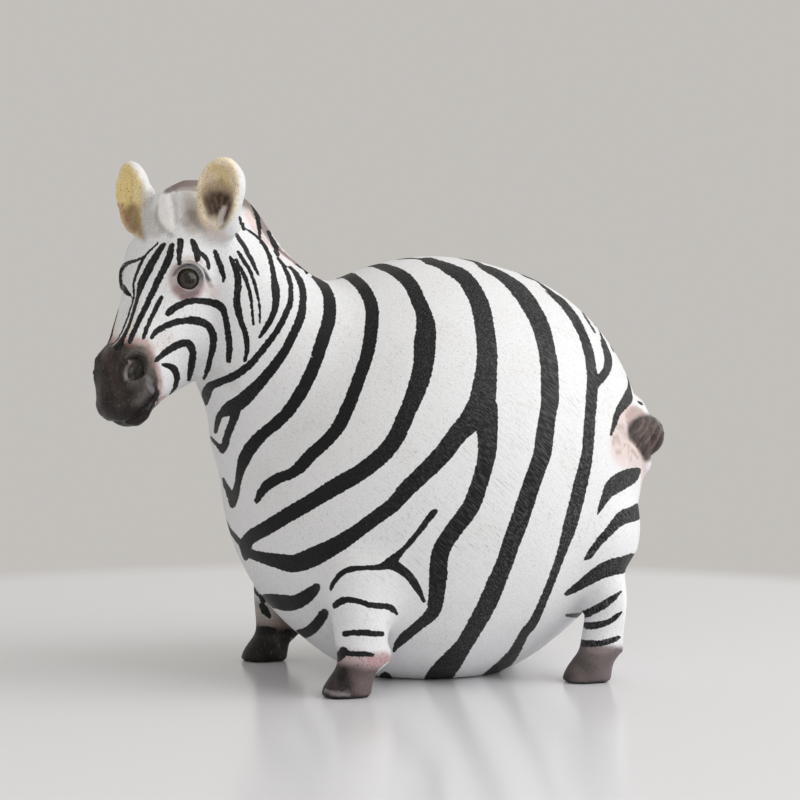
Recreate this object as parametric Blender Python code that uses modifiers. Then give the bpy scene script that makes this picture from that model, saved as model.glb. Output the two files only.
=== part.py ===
"""Fat zebra figurine: one painted cast with a ball of a body, short legs, and its head turned to its left.

The zebra faces -X with its left side to -Y, and stands on its four hooves and the flat of its belly.
Every place below is in units, and the whole figure is 179 units high.
"""

import math

import bmesh
import bpy
import numpy as np
from mathutils import Matrix, Vector

# Driving sizes, in metres and degrees
HEIGHT = 0.179
HEAD_YAW = 27.0
HEAD_PITCH = 66.5
TRIANGLES = 9600

# The figure's own scale: one unit is a hundred-and-seventy-ninth of its height
UNITS_HIGH = 179.0
UNIT = HEIGHT / UNITS_HIGH

# Body ball, in units: half length, half width, half height, and the height of its centre
BODY = (76.0, 64.0, 75.0)
BODY_Z = 71.5

# Stance, in units: hoof centres ahead of, behind and beside the ball's centre
FRONT_X = -48.0
REAR_X = 40.0
TRACK = 43.5
HOOF_LENGTH = 17.5
HOOF_WIDTH = 14.5
HOOF_HEIGHT = 12.5

# Head, in units: its origin lies between the ears' roots, and its axis runs down to the lips
HEAD_ORIGIN = Vector((-91.6, 0.0, 156.3))
EYE = (20.3, 2.5, 13.6)
EYE_RADIUS = 3.9
LID = 1.05
EYE_SEAM = 0.9
EYE_SEAM_HALF = 0.9
NOSTRIL = (56.6, 8.6, 9.6)
NOSTRIL_HALF = (4.4, 3.2, 3.4)
MOUTH = ((59.5, -2.0, 12.0), (64, -1.4, 11.6), (68, -0.4, 9.6), (71, 0.0, 5.6), (72.5, 0.2, 0))
MOUTH_HALF = 1.9
MOUTH_DEPTH = 1.3
EAR_HALF = (8.6, 5.8, 12.8)
EAR_WALL = 1.7

# Voxel sizes, in units, of the three modelling stages
COARSE, MIDDLE, FINE = 2.0, 1.15, 0.85


def head_axes():
    """The head's axes: down its length, up out of its forehead, and out of its left side."""
    yaw, pitch = math.radians(HEAD_YAW), math.radians(HEAD_PITCH)
    level = Vector((-math.cos(yaw), -math.sin(yaw), 0))
    down = level * math.cos(pitch) - Vector((0, 0, 1)) * math.sin(pitch)
    brow = level * math.sin(pitch) + Vector((0, 0, 1)) * math.cos(pitch)
    left = Vector((math.sin(yaw), -math.cos(yaw), 0))
    return down, brow, left


DOWN, BROW, LEFT = head_axes()


def on_head(along, above, aside):
    """A point of the head: along its length, above its axis, and aside to its left."""
    return HEAD_ORIGIN + DOWN * along + BROW * above + LEFT * aside


def basis(x_axis, y_axis, z_axis):
    return Matrix((x_axis, y_axis, z_axis)).transposed()


HEAD_BASIS = basis(DOWN, BROW, LEFT)


def ellipsoid(bm, centre, radii, turn=None):
    """A closed ellipsoid with its radii along the axes of turn."""
    turn = turn if turn is not None else Matrix.Identity(3)
    matrix = Matrix.Translation(centre) @ turn.to_4x4() @ Matrix.Diagonal((*radii, 1))
    bmesh.ops.create_icosphere(bm, subdivisions=4, radius=1, matrix=matrix)


def pair(bm, centre, radii, turn=None):
    """The same ellipsoid on the left and on the right of the body."""
    for side in (1, -1):
        ellipsoid(bm, (centre[0], centre[1] * side, centre[2]), radii, turn)


def head_pair(bm, place, radii):
    """The same ellipsoid on the left and on the right of the head."""
    for side in (1, -1):
        ellipsoid(bm, on_head(place[0], place[1], place[2] * side), radii, HEAD_BASIS)


def loft(bm, sections, segments=40):
    """A closed skin over sections, each a centre, an up and a side axis, and its reach up, down and aside.

    The last two numbers of a section are how square it is, and how far it narrows towards its top.
    """
    rings = []
    for centre, up, side, top, bottom, half, square, pinch in sections:
        ring = []
        for k in range(segments):
            angle = 2 * math.pi * k / segments
            c, s = math.cos(angle), math.sin(angle)
            c = math.copysign(abs(c) ** (2 / square), c)
            s = math.copysign(abs(s) ** (2 / square), s)
            wide = half * c * (1 - pinch * max(s, 0) ** 0.7)
            ring.append(bm.verts.new(centre + side * wide + up * (top if s > 0 else bottom) * s))
        rings.append(ring)
    faces = []
    for one, two in zip(rings, rings[1:]):
        for k in range(segments):
            n = (k + 1) % segments
            faces.append(bm.faces.new((one[k], one[n], two[n], two[k])))
    for ring in (rings[0], rings[-1]):
        centre = bm.verts.new(sum((v.co for v in ring), Vector()) / segments)
        for k in range(segments):
            faces.append(bm.faces.new((ring[k], ring[(k + 1) % segments], centre)))
    bmesh.ops.recalc_face_normals(bm, faces=faces)


def smooth_path(points, steps):
    """A smooth path through hand-set rows of numbers (Catmull-Rom)."""
    rows = np.array(points, float)
    rows = np.vstack([2 * rows[0] - rows[1], rows, 2 * rows[-1] - rows[-2]])
    out = []
    for i in range(1, len(rows) - 2):
        p0, p1, p2, p3 = rows[i - 1:i + 3]
        for t in np.linspace(0, 1, steps, endpoint=False):
            out.append(0.5 * (2 * p1 + (p2 - p0) * t + (2 * p0 - 5 * p1 + 4 * p2 - p3) * t ** 2
                              + (3 * p1 - p0 - 3 * p2 + p3) * t ** 3))
    out.append(rows[-2])
    return np.array(out)


def heading(rows, i):
    """The direction of a path in the middle plane at its i-th row, whose first numbers are x and z."""
    before, after = rows[max(i - 1, 0)], rows[min(i + 1, len(rows) - 1)]
    return Vector((after[0] - before[0], 0, after[1] - before[1])).normalized()


def staged(bm):
    """An object that holds bm's mesh, for modifiers to work on."""
    mesh = bpy.data.meshes.new("stage")
    bm.to_mesh(mesh)
    bm.free()
    stage = bpy.data.objects.new("stage", mesh)
    bpy.context.scene.collection.objects.link(stage)
    return stage


def applied(stage):
    """The mesh that a staged object's modifiers make of it, after which the object is gone."""
    mesh = stage.data
    result = bpy.data.meshes.new_from_object(stage.evaluated_get(bpy.context.evaluated_depsgraph_get()))
    bpy.data.objects.remove(stage)
    bpy.data.meshes.remove(mesh)
    out = bmesh.new()
    out.from_mesh(result)
    bpy.data.meshes.remove(result)
    return out


def fused(bm, voxel, rounds):
    """The union of all that bm holds, as one skin of small faces, smoothed a number of rounds."""
    stage = staged(bm)
    remesh = stage.modifiers.new("union", "REMESH")
    remesh.mode = "VOXEL"
    remesh.voxel_size = voxel
    smooth = stage.modifiers.new("soften", "SMOOTH")
    smooth.factor = 0.5
    smooth.iterations = rounds
    return applied(stage)


def add_trunk(bm):
    """The ball, the chest, the rump and the neck."""
    ellipsoid(bm, (0, 0, BODY_Z), BODY)
    ellipsoid(bm, (11.5, 0, 75), (66, 58, 69))
    ellipsoid(bm, (-38, 0, 86), (43, 38, 34))
    up = Vector((0, 0, 1))
    rows = smooth_path([
        (-20, 92, 48, 48, 50),
        (-42, 104, 41, 43, 41),
        (-60, 118, 27, 32, 32),
        (-72, 134, 20.5, 22, 23),
        (-82, 149, 16, 16, 17),
        (-88, 158, 12, 11, 12),
        (-91, 164, 6, 6, 7),
    ], 4)
    sections = []
    for i, (x, z, back, front, half) in enumerate(rows):
        run = heading(rows, i)
        crest = Vector((run.z, 0, -run.x))
        sections.append((Vector((x, 0, z)), crest, Vector((0, 1, 0)), back, front, half, 2.0, 0.0))
    loft(bm, sections)


def add_haunches(bm):
    """The upper legs where they swell out of the ball."""
    pair(bm, (40, 30, 52), (25, 24, 27))
    pair(bm, (-40, 39, 38), (15, 13, 20))


def add_head(bm):
    """The head as a loft from the poll to the lips, with cheeks, brows and a full muzzle."""
    rows = smooth_path([
        (-13, -2, 3, -12, 9, 2.0, 0.0),
        (-6, -2, 9, -19, 14.5, 2.0, 0.0),
        (4, -2, 10.5, -25, 17, 2.1, 0.0),
        (13, -2, 11.2, -28, 17.6, 2.3, 0.08),
        (21, -1, 11.5, -30, 17.0, 2.4, 0.12),
        (30, -2, 11.7, -30, 15.0, 2.3, 0.25),
        (39, -1, 12.2, -27, 13.0, 2.3, 0.28),
        (47, 1, 12.6, -24.5, 11.4, 2.2, 0.25),
        (53, 2.5, 12.8, -18.5, 10.8, 2.2, 0.16),
        (59, 3.2, 12.0, -12.5, 10.6, 2.3, 0.08),
        (65, 2.4, 8.6, -7.5, 9.6, 2.3, 0.0),
        (69.5, 1.8, 6.0, -4.5, 8.2, 2.2, 0.0),
        (72.5, 1.0, 3.4, -2.5, 5.2, 2.0, 0.0),
    ], 3)
    sections = []
    for along, middle, top, bottom, half, square, pinch in rows:
        centre = on_head(along, middle, 0)
        sections.append((centre, BROW, LEFT, top - middle, middle - bottom, half, square, pinch))
    loft(bm, sections)
    head_pair(bm, (27, -13, 8.0), (17, 14, 8.5))
    head_pair(bm, (14, 6.0, 9.0), (7.5, 4.4, 5.4))
    head_pair(bm, (55.5, 6.6, 5.4), (6.6, 5.2, 5.2))
    ellipsoid(bm, on_head(64, 2.8, 0), (8.0, 6.2, 9.4), HEAD_BASIS)
    ellipsoid(bm, on_head(66, -3.5, 0), (6, 4.0, 8.5), HEAD_BASIS)
    ellipsoid(bm, on_head(-3, 4.2, 0), (9, 8, 12), HEAD_BASIS)


def add_mane(bm):
    """The stiff mane, a ridge from between the ears down to the withers."""
    rows = smooth_path([
        (-97.5, 165.0, 2.5, 5),
        (-95.0, 169.0, 3.5, 7),
        (-90.5, 171.8, 4.0, 9),
        (-82.0, 171.3, 4.2, 11),
        (-74.0, 168.8, 4.2, 12),
        (-67.0, 164.2, 4.2, 11),
        (-61.0, 156.3, 4.2, 10),
        (-55.5, 148.9, 4.0, 9),
        (-48.0, 141.9, 3.6, 8),
        (-41.0, 137.8, 2.5, 5),
    ], 4)
    sections = []
    for i, (x, z, half, reach) in enumerate(rows):
        run = heading(rows, i)
        crest = Vector((-run.z, 0, run.x))
        centre = Vector((x, 0, z)) - crest * reach
        sections.append((centre, crest, Vector((0, 1, 0)), reach, reach, half, 2.6, 0.0))
    loft(bm, sections, 24)


def add_ear(bm, side):
    """One cupped ear with its rim, its hollow and its root."""
    across, _, tall = EAR_HALF
    up = (Vector((0, 0, 1)) + LEFT * 0.07 * side).normalized()
    face = (BROW * math.cos(math.radians(17)) + LEFT * math.sin(math.radians(17)) * side)
    face = (face - up * face.dot(up)).normalized()
    turn = basis(up.cross(face), face, up)
    middle = on_head(-8.0, 6.0, 21.5 * side)
    shell, hollow = bmesh.new(), bmesh.new()
    ellipsoid(shell, (0, 0, 0), EAR_HALF)
    ellipsoid(hollow, (0, 5.6, 0.4), (across - EAR_WALL, 8.6, tall - EAR_WALL))
    for form in (shell, hollow):
        for vert in form.verts:
            share = vert.co.z / tall
            vert.co.x *= 1 + 0.22 * share - 0.5 * max(share - 0.5, 0)
            vert.co.x += 0.8 * side * max(share, 0)
    stage, cutter = staged(shell), staged(hollow)
    cut = stage.modifiers.new("hollow", "BOOLEAN")
    cut.operation = "DIFFERENCE"
    cut.solver = "EXACT"
    cut.object = cutter
    ear = applied(stage)
    bpy.data.objects.remove(cutter)
    ear.transform(Matrix.Translation(middle) @ turn.to_4x4())
    mesh = bpy.data.meshes.new("ear")
    ear.to_mesh(mesh)
    ear.free()
    bm.from_mesh(mesh)
    bpy.data.meshes.remove(mesh)
    ellipsoid(bm, middle - up * 8.2 - face * 3.6, (6.4, 4.4, 7.6), turn)


def add_legs(bm):
    """The short lower legs with fetlocks and hooves."""
    front = smooth_path([
        (46, -40.0, 6.0, 10.0, 8.0),
        (36, -41.0, 3.5, 11.4, 10.0),
        (26, -42.0, 1.8, 10.2, 9.6),
        (18, -42.6, 0.8, 8.8, 8.6),
        (12, -42.8, 0.0, 8.0, 7.6),
        (8, -44.0, 0.0, 7.4, 7.0),
    ], 4)
    rear = smooth_path([
        (44, 45.0, 9.0, 12.0, 10.0),
        (34, 47.5, 5.5, 10.0, 10.5),
        (25, 50.5, 3.5, 8.8, 9.8),
        (18, 48.0, 1.5, 8.0, 8.2),
        (12, 45.6, 0.0, 7.6, 7.4),
        (8, 44.0, 0.0, 7.0, 6.8),
    ], 4)
    for side in (1, -1):
        y = TRACK * side
        for rows in (front, rear):
            sections = []
            for z, x, inward, long, wide in rows:
                centre = Vector((x, y - inward * side, z))
                sections.append((centre, Vector((1, 0, 0)), Vector((0, 1, 0)), long, long, wide, 2.1, 0.0))
            loft(bm, sections)
        ellipsoid(bm, (-36.6, y, 13.2), (4.6, 5.6, 4.2))
        ellipsoid(bm, (51.2, y, 11.6), (4.2, 5.2, 3.8))
        for x in (FRONT_X, REAR_X):
            add_hoof(bm, x, y)


def add_hoof(bm, x, y):
    """A hoof: a rounded block that slopes forward, wider at its sole."""
    half = HOOF_LENGTH / 2
    rows = smooth_path([
        (-2.0, 0.0, 1.00),
        (2.0, 0.4, 0.99),
        (6.0, 2.0, 0.90),
        (HOOF_HEIGHT - 2, 4.6, 0.76),
        (HOOF_HEIGHT + 2, 6.0, 0.60),
    ], 3)
    sections = []
    for z, lean, share in rows:
        centre = Vector((x + lean, y, z))
        sections.append((centre, Vector((-1, 0, 0)), Vector((0, 1, 0)), half * share, half * share * 0.9,
                         HOOF_WIDTH / 2 * share, 2.5, 0.0))
    loft(bm, sections, 28)


def add_tail(bm):
    """The short tail, curled round the rump to the left, with its tuft."""
    rows = smooth_path([
        (67, 4, 93, 4.6),
        (71.5, -3, 93, 5.0),
        (72, -11, 92, 5.2),
        (69.5, -19, 89.5, 5.4),
        (67, -26.5, 84, 5.4),
        (66, -27, 76.5, 5.2),
        (70, -22, 73, 5.0),
    ], 5)
    for x, y, z, radius in rows:
        ellipsoid(bm, (x, y, z), (radius, radius, radius))
    ellipsoid(bm, (74.5, -19.0, 82.5), (7.2, 6.6, 7.4))


def eye_axis(side):
    """The way an eye looks out of the head."""
    return (LEFT * 0.86 * side + BROW * 0.5).normalized()


def add_face(bm):
    """Eyeballs with a rim of lid round each, and the rims of the nostrils."""
    for side in (1, -1):
        out = eye_axis(side)
        along = (DOWN - out * DOWN.dot(out)).normalized()
        across = out.cross(along)
        middle = on_head(EYE[0], EYE[1], EYE[2] * side)
        ellipsoid(bm, middle, (EYE_RADIUS,) * 3)
        for k in range(28):
            angle = 2 * math.pi * k / 28
            ring = along * math.cos(angle) + across * math.sin(angle)
            place = middle + out * 2.0 + ring * (EYE_RADIUS + 0.4)
            ellipsoid(bm, place, (LID,) * 3)
    head_pair(bm, (55.8, 7.0, 6.4), (6.6, 5.2, 3.8))


def carve(bm):
    """What the voxels are too coarse for: the nostrils, the mouth and the seams round the eyeballs."""
    bm.normal_update()
    points = np.array([v.co for v in bm.verts])
    normals = np.array([v.normal for v in bm.verts])
    moves = np.zeros_like(points)

    def near(place, radius):
        reach = np.linalg.norm(points - np.array(place), axis=1) / radius
        return np.clip(1 - reach ** 2, 0, 1)

    axes = np.array(HEAD_BASIS)
    for side in (1, -1):
        inward = np.array(-(LEFT * 0.75 * side + BROW * 0.65).normalized())
        start = (points - np.array(on_head(*NOSTRIL[:2], NOSTRIL[2] * side))) @ axes / NOSTRIL_HALF
        step = inward @ axes / NOSTRIL_HALF
        inside = np.clip(1 - np.sum(start ** 2, axis=1), 0, None)
        along = start @ step
        square = step @ step
        reach = (-along + np.sqrt(along ** 2 + square * inside)) / square
        moves += np.where(inside > 0, reach, 0)[:, None] * inward

        mouth = np.zeros(len(points))
        for along, above, aside in smooth_path(MOUTH, 8):
            mouth = np.maximum(mouth, near(on_head(along, above, aside * side), MOUTH_HALF))
        moves -= mouth[:, None] * MOUTH_DEPTH * normals

        out = np.array(eye_axis(side))
        from_eye = points - np.array(on_head(EYE[0], EYE[1], EYE[2] * side))
        depth = from_eye @ out
        radius = np.linalg.norm(from_eye - depth[:, None] * out, axis=1)
        seam = np.clip(1 - ((radius - EYE_RADIUS + 0.6) / EYE_SEAM_HALF) ** 2, 0, 1)
        seam *= (depth > 1) * (depth < 7)
        moves -= seam[:, None] * EYE_SEAM * normals
    points += moves
    for vert, place in zip(bm.verts, points):
        vert.co = place


def stand(bm):
    """Cuts the hooves and the belly flat on the ground, and closes them."""
    geometry = bm.verts[:] + bm.edges[:] + bm.faces[:]
    cut = bmesh.ops.bisect_plane(bm, geom=geometry, dist=0.01, plane_co=(0, 0, 0), plane_no=(0, 0, 1),
                                 clear_inner=True)
    rim = [e for e in cut["geom_cut"] if isinstance(e, bmesh.types.BMEdge)]
    bmesh.ops.holes_fill(bm, edges=rim, sides=0)
    bmesh.ops.triangulate(bm, faces=bm.faces[:])


def thinned(bm):
    """The same skin with fewer, larger triangles."""
    bmesh.ops.triangulate(bm, faces=bm.faces[:])
    count = len(bm.faces)
    stage = staged(bm)
    decimate = stage.modifiers.new("thin", "DECIMATE")
    decimate.ratio = TRIANGLES / count
    return applied(stage)


def paint():
    """Plain off-white paint with a satin coat."""
    material = bpy.data.materials.new("zebra_paint")
    material.use_nodes = True
    shader = material.node_tree.nodes["Principled BSDF"]
    shader.inputs["Base Color"].default_value = (0.78, 0.77, 0.74, 1)
    shader.inputs["Roughness"].default_value = 0.5
    shader.inputs["Metallic"].default_value = 0.0
    return material


def build():
    for old in list(bpy.data.objects):
        bpy.data.objects.remove(old)
    group = bpy.data.collections.new("zebra_figurine")
    bpy.context.scene.collection.children.link(group)

    form = bmesh.new()
    add_trunk(form)
    add_haunches(form)
    form = fused(form, COARSE, 40)
    add_head(form)
    add_legs(form)
    add_tail(form)
    add_mane(form)
    form = fused(form, MIDDLE, 6)
    add_ear(form, 1)
    add_ear(form, -1)
    add_face(form)
    form = fused(form, FINE, 2)
    carve(form)
    form = thinned(form)
    stand(form)

    low = Vector([min(v.co[i] for v in form.verts) for i in range(3)])
    high = Vector([max(v.co[i] for v in form.verts) for i in range(3)])
    shift = Vector((-(low.x + high.x) / 2, -(low.y + high.y) / 2, 0))
    bmesh.ops.transform(form, matrix=Matrix.Translation(shift), verts=form.verts[:])
    bmesh.ops.transform(form, matrix=Matrix.Scale(UNIT, 4), verts=form.verts[:])
    bmesh.ops.recalc_face_normals(form, faces=form.faces[:])
    mesh = bpy.data.meshes.new("zebra")
    form.to_mesh(mesh)
    form.free()
    mesh.shade_smooth()
    mesh.materials.append(paint())
    zebra = bpy.data.objects.new("zebra", mesh)
    group.objects.link(zebra)


build()
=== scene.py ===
"""The look of a painted zebra ornament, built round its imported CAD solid."""

import math

import bpy
import numpy as np
from mathutils import Matrix, Vector
from mathutils.bvhtree import BVHTree


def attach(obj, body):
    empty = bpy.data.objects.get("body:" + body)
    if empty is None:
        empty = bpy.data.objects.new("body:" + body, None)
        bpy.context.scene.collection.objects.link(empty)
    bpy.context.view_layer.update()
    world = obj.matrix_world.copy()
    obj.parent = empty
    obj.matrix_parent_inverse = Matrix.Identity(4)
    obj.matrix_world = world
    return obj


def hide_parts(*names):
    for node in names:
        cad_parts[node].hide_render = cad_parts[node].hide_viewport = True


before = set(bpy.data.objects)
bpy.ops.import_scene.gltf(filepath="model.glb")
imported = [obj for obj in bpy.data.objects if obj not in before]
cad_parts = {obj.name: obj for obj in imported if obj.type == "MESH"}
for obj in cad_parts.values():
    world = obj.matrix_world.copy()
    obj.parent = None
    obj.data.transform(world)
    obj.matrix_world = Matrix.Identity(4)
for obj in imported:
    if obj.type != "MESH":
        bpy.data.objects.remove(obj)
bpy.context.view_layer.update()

# Viewpoint. The camera stands where the photograph was taken from, which the hooves and the outline gave.
# The painted strokes further down are laid on the figure along its lines of sight.
PHOTO_PIXELS = 800
FOCAL_PIXELS = 2556
HORIZON_PIXELS = 120
AXIS_PIXELS = 32
BODY_CENTRE_X = 0.021775
CAMERA_DISTANCE = 0.900
CAMERA_HEIGHT = 0.1377
CAMERA_AZIMUTH = math.radians(-22)
FILM_WIDTH = 36.0

turn = CAMERA_AZIMUTH + math.atan(AXIS_PIXELS / FOCAL_PIXELS)
dip = math.atan(HORIZON_PIXELS / FOCAL_PIXELS)
bpy.ops.object.camera_add(
    location=(BODY_CENTRE_X + CAMERA_DISTANCE * math.sin(CAMERA_AZIMUTH),
              -CAMERA_DISTANCE * math.cos(CAMERA_AZIMUTH), CAMERA_HEIGHT),
    rotation=(math.pi / 2 - dip, 0, turn))
camera = bpy.context.object
camera.name = "viewpoint"
camera.data.sensor_width = FILM_WIDTH
camera.data.lens = FOCAL_PIXELS / PHOTO_PIXELS * FILM_WIDTH
bpy.context.scene.camera = camera
bpy.context.view_layer.update()
camera_place = camera.location.copy()
camera_turn = camera.matrix_world.to_3x3()
PIXEL = CAMERA_DISTANCE / FOCAL_PIXELS

# The cast. The real figure is one hollow pour of resin: body, head, ears, mane, legs and tail in one skin,
# carved by hand before it was moulded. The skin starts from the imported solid, whose facets are rounded off,
# and it has small faces where the face, the feet and the tail are carved and larger ones on the plain body.
MM = 0.001
SKIN_STEP = 0.92 * MM
BODY_SHARE = 0.38
GROUND_BAND = 0.25 * MM
DOUBLES = 1e-6
LOSS_ROUNDS = 14
HEAD_PLACE = Vector((-91.6 * MM + BODY_CENTRE_X, 0.0, 156.3 * MM))
HEAD_YAW = math.radians(27.0)
HEAD_PITCH = math.radians(66.5)

level = Vector((-math.cos(HEAD_YAW), -math.sin(HEAD_YAW), 0))
DOWN = level * math.cos(HEAD_PITCH) - Vector((0, 0, 1)) * math.sin(HEAD_PITCH)
BROW = level * math.sin(HEAD_PITCH) + Vector((0, 0, 1)) * math.cos(HEAD_PITCH)
LEFT = Vector((math.sin(HEAD_YAW), -math.cos(HEAD_YAW), 0))
HEAD_AXES = np.array((DOWN, BROW, LEFT))


def on_head(along, above, aside):
    """A point of the head, in millimetres down its length, out of its brow and out of its left side."""
    return HEAD_PLACE + (DOWN * along + BROW * above + LEFT * aside) * MM


def head_place(points):
    """Points in the head's own millimetres: along, above and aside."""
    return (points - np.array(HEAD_PLACE)) @ HEAD_AXES.T / MM


def vertex_places(piece):
    places = np.empty(len(piece.data.vertices) * 3)
    piece.data.vertices.foreach_get("co", places)
    return places.reshape(-1, 3)


def vertex_normals(piece):
    normals = np.empty(len(piece.data.vertices) * 3)
    piece.data.vertices.foreach_get("normal", normals)
    return normals.reshape(-1, 3)


def set_places(piece, places):
    piece.data.vertices.foreach_set("co", places.ravel())
    piece.data.update()


def applied(piece, kind, **values):
    """Adds a modifier to a piece with these values, and applies it."""
    bpy.context.view_layer.objects.active = piece
    modifier = piece.modifiers.new(kind.lower(), kind)
    for name, value in values.items():
        setattr(modifier, name, value)
    bpy.ops.object.modifier_apply(modifier=modifier.name)


def cut_finer(piece, chosen):
    """Cuts the chosen faces of a piece into four, and leaves the rest whole."""
    bpy.context.view_layer.objects.active = piece
    piece.data.polygons.foreach_set("select", chosen)
    bpy.ops.object.mode_set(mode="EDIT")
    bpy.ops.mesh.select_mode(type="FACE")
    bpy.ops.object.mode_set(mode="OBJECT")
    piece.data.polygons.foreach_set("select", chosen)
    bpy.ops.object.mode_set(mode="EDIT")
    bpy.ops.mesh.subdivide(number_cuts=1, smoothness=0, ngon=False)
    bpy.ops.mesh.select_all(action="DESELECT")
    bpy.ops.object.mode_set(mode="OBJECT")


bpy.ops.object.select_all(action="DESELECT")
cast = bpy.data.objects.new("zebra_cast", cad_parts["zebra"].data.copy())
bpy.context.scene.collection.objects.link(cast)
cast.data.materials.clear()
cast.select_set(True)
bpy.context.view_layer.objects.active = cast
bpy.ops.mesh.customdata_custom_splitnormals_clear()
bpy.ops.object.mode_set(mode="EDIT")
bpy.ops.mesh.select_all(action="SELECT")
bpy.ops.mesh.remove_doubles(threshold=DOUBLES)
bpy.ops.object.mode_set(mode="OBJECT")
applied(cast, "SUBSURF", levels=1, render_levels=1)
applied(cast, "REMESH", mode="VOXEL", voxel_size=SKIN_STEP)
applied(cast, "SMOOTH", factor=0.5, iterations=4)


def eased(piece, values, rounds):
    """Values at a piece's vertices, each averaged with its neighbours' for a number of rounds."""
    ends = np.empty(len(piece.data.edges) * 2, int)
    piece.data.edges.foreach_get("vertices", ends)
    one, two = ends.reshape(-1, 2).T
    count = len(values)
    neighbours = np.maximum(np.bincount(ends, minlength=count), 1)
    for _ in range(rounds):
        total = np.bincount(one, values[two], count) + np.bincount(two, values[one], count)
        values = (values + total / neighbours) / 2
    return values


# Rounding the facets off also draws the skin in, so it goes out again by what it lost, and stands flat.
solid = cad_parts["zebra"].data
solid_skin = BVHTree.FromPolygons([v.co.copy() for v in solid.vertices],
                                  [tuple(p.vertices) for p in solid.polygons])
places, normals = vertex_places(cast), vertex_normals(cast)
loss = np.array([(np.array(solid_skin.find_nearest(Vector(place))[0]) - place) @ normal
                 for place, normal in zip(places, normals)])
places += eased(cast, loss, LOSS_ROUNDS)[:, None] * normals
places[:, 2] = np.where(places[:, 2] < GROUND_BAND, 0, places[:, 2])
set_places(cast, places)

# The body is smooth enough for larger faces, which leaves more of them to the head, the feet and the tail.
HEAD_HALF = 36
HEAD_TOP = -26
FAR_CHEEK = -10
WITHERS_X = -0.046
FOOT_HEIGHT, FOOT_ASIDE = 0.024, 0.033
TAIL_BOX_X, TAIL_BOX_Y, TAIL_BOX_Z = 0.082, 0.006, (0.064, 0.1)
along, above, aside = head_place(places).T
x, y, z = places.T
fine = (np.hypot(above + 6, aside) < HEAD_HALF) & (along > HEAD_TOP) & (x < WITHERS_X)
fine &= (aside > FAR_CHEEK) | (along < -2)
fine |= (z < FOOT_HEIGHT) & (np.abs(y) > FOOT_ASIDE) & ((y < 0) | (x < 0))
fine |= (x > TAIL_BOX_X) & (y < TAIL_BOX_Y) & (z > TAIL_BOX_Z[0]) & (z < TAIL_BOX_Z[1])
plain = cast.vertex_groups.new(name="plain")
plain.add([int(index) for index in np.nonzero(~fine)[0]], 1.0, "REPLACE")
applied(cast, "DECIMATE", ratio=BODY_SHARE, vertex_group="plain", vertex_group_factor=1000.0)
cast.vertex_groups.clear()

# Strokes. The figure is painted by hand, so its stripes, shades and carved lines are all strokes of a tool.
# Each was read off the photograph as places and breadths in its pixels. It is carried along the lines
# of sight to the skin, and its twin lies on the side that isn't in view.
SPACING = 1.5
EDGE_ON = 0.15
BROADEST = 1.5
CLEAR_OF_SKIN = 0.4 * MM
TWIN_NEAR, TWIN_LIMIT = 2 * MM, 7 * MM
GAP = 4 * MM
skin = BVHTree.FromPolygons([v.co.copy() for v in cast.data.vertices],
                            [tuple(p.vertices) for p in cast.data.polygons])


def through(rows, spacing=SPACING):
    """A smooth path through rows of numbers, the first two of them in pixels (Catmull-Rom)."""
    rows = np.array(rows, float)
    rows = np.vstack([2 * rows[0] - rows[1], rows, 2 * rows[-1] - rows[-2]])
    path = []
    for i in range(1, len(rows) - 2):
        p0, p1, p2, p3 = rows[i - 1:i + 3]
        steps = max(int(np.linalg.norm(p2[:2] - p1[:2]) / spacing), 1)
        for t in np.arange(steps) / steps:
            path.append(0.5 * (2 * p1 + (p2 - p0) * t + (2 * p0 - 5 * p1 + 4 * p2 - p3) * t ** 2
                               + (3 * p1 - p0 - 3 * p2 + p3) * t ** 3))
    path.append(rows[-2])
    return np.array(path)


def seen(x, y):
    """Where the line of sight through a pixel meets the skin, with the skin's normal there, or nothing."""
    half = PHOTO_PIXELS / 2
    sight = camera_turn @ Vector(((x - half) / FOCAL_PIXELS, (half - y) / FOCAL_PIXELS, -1))
    place, normal, _, _ = skin.ray_cast(camera_place, sight)
    return place, normal


def seen_near(x, y):
    """The same, or else the nearest such place within a few pixels."""
    for reach in (0, 1, 2, 3, 4):
        for k in range(8 if reach else 1):
            place, normal = seen(x + reach * math.cos(k * math.pi / 4), y + reach * math.sin(k * math.pi / 4))
            if place is not None:
                return place, normal
    return None, None


def stroke_of(rows, broader=0.0):
    """A stroke on the skin, in rows.

    A row has its middle line's place, the skin's normal and half its breadth there, and then its pixel and
    half its breadth in pixels. Where the skin turns away from the camera, a stroke is broader over the skin.
    """
    path = through(rows)
    run = np.gradient(path[:, :2], axis=0)
    run /= np.maximum(np.linalg.norm(run, axis=1), 1e-6)[:, None]
    stroke = []
    for (x, y, breadth), (run_x, run_y) in zip(path, run):
        breadth = breadth + broader
        off_x, off_y = -run_y * breadth / 2, run_x * breadth / 2
        centre, normal = seen_near(x, y)
        if centre is None:
            continue
        one, _ = seen(x + off_x, y + off_y)
        two, _ = seen(x - off_x, y - off_y)
        half = breadth / 2 * PIXEL
        slant = max(normal.dot((camera_place - centre).normalized()), EDGE_ON)
        place = centre
        if one is not None and two is not None and half < (one - two).length / 2 < BROADEST * half / slant:
            place = (one + two) / 2
            half = min((one - two).length / 2, BROADEST * half)
        stroke.append((*place, *normal, half, x, y, breadth / 2))
    return np.array(stroke)


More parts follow.
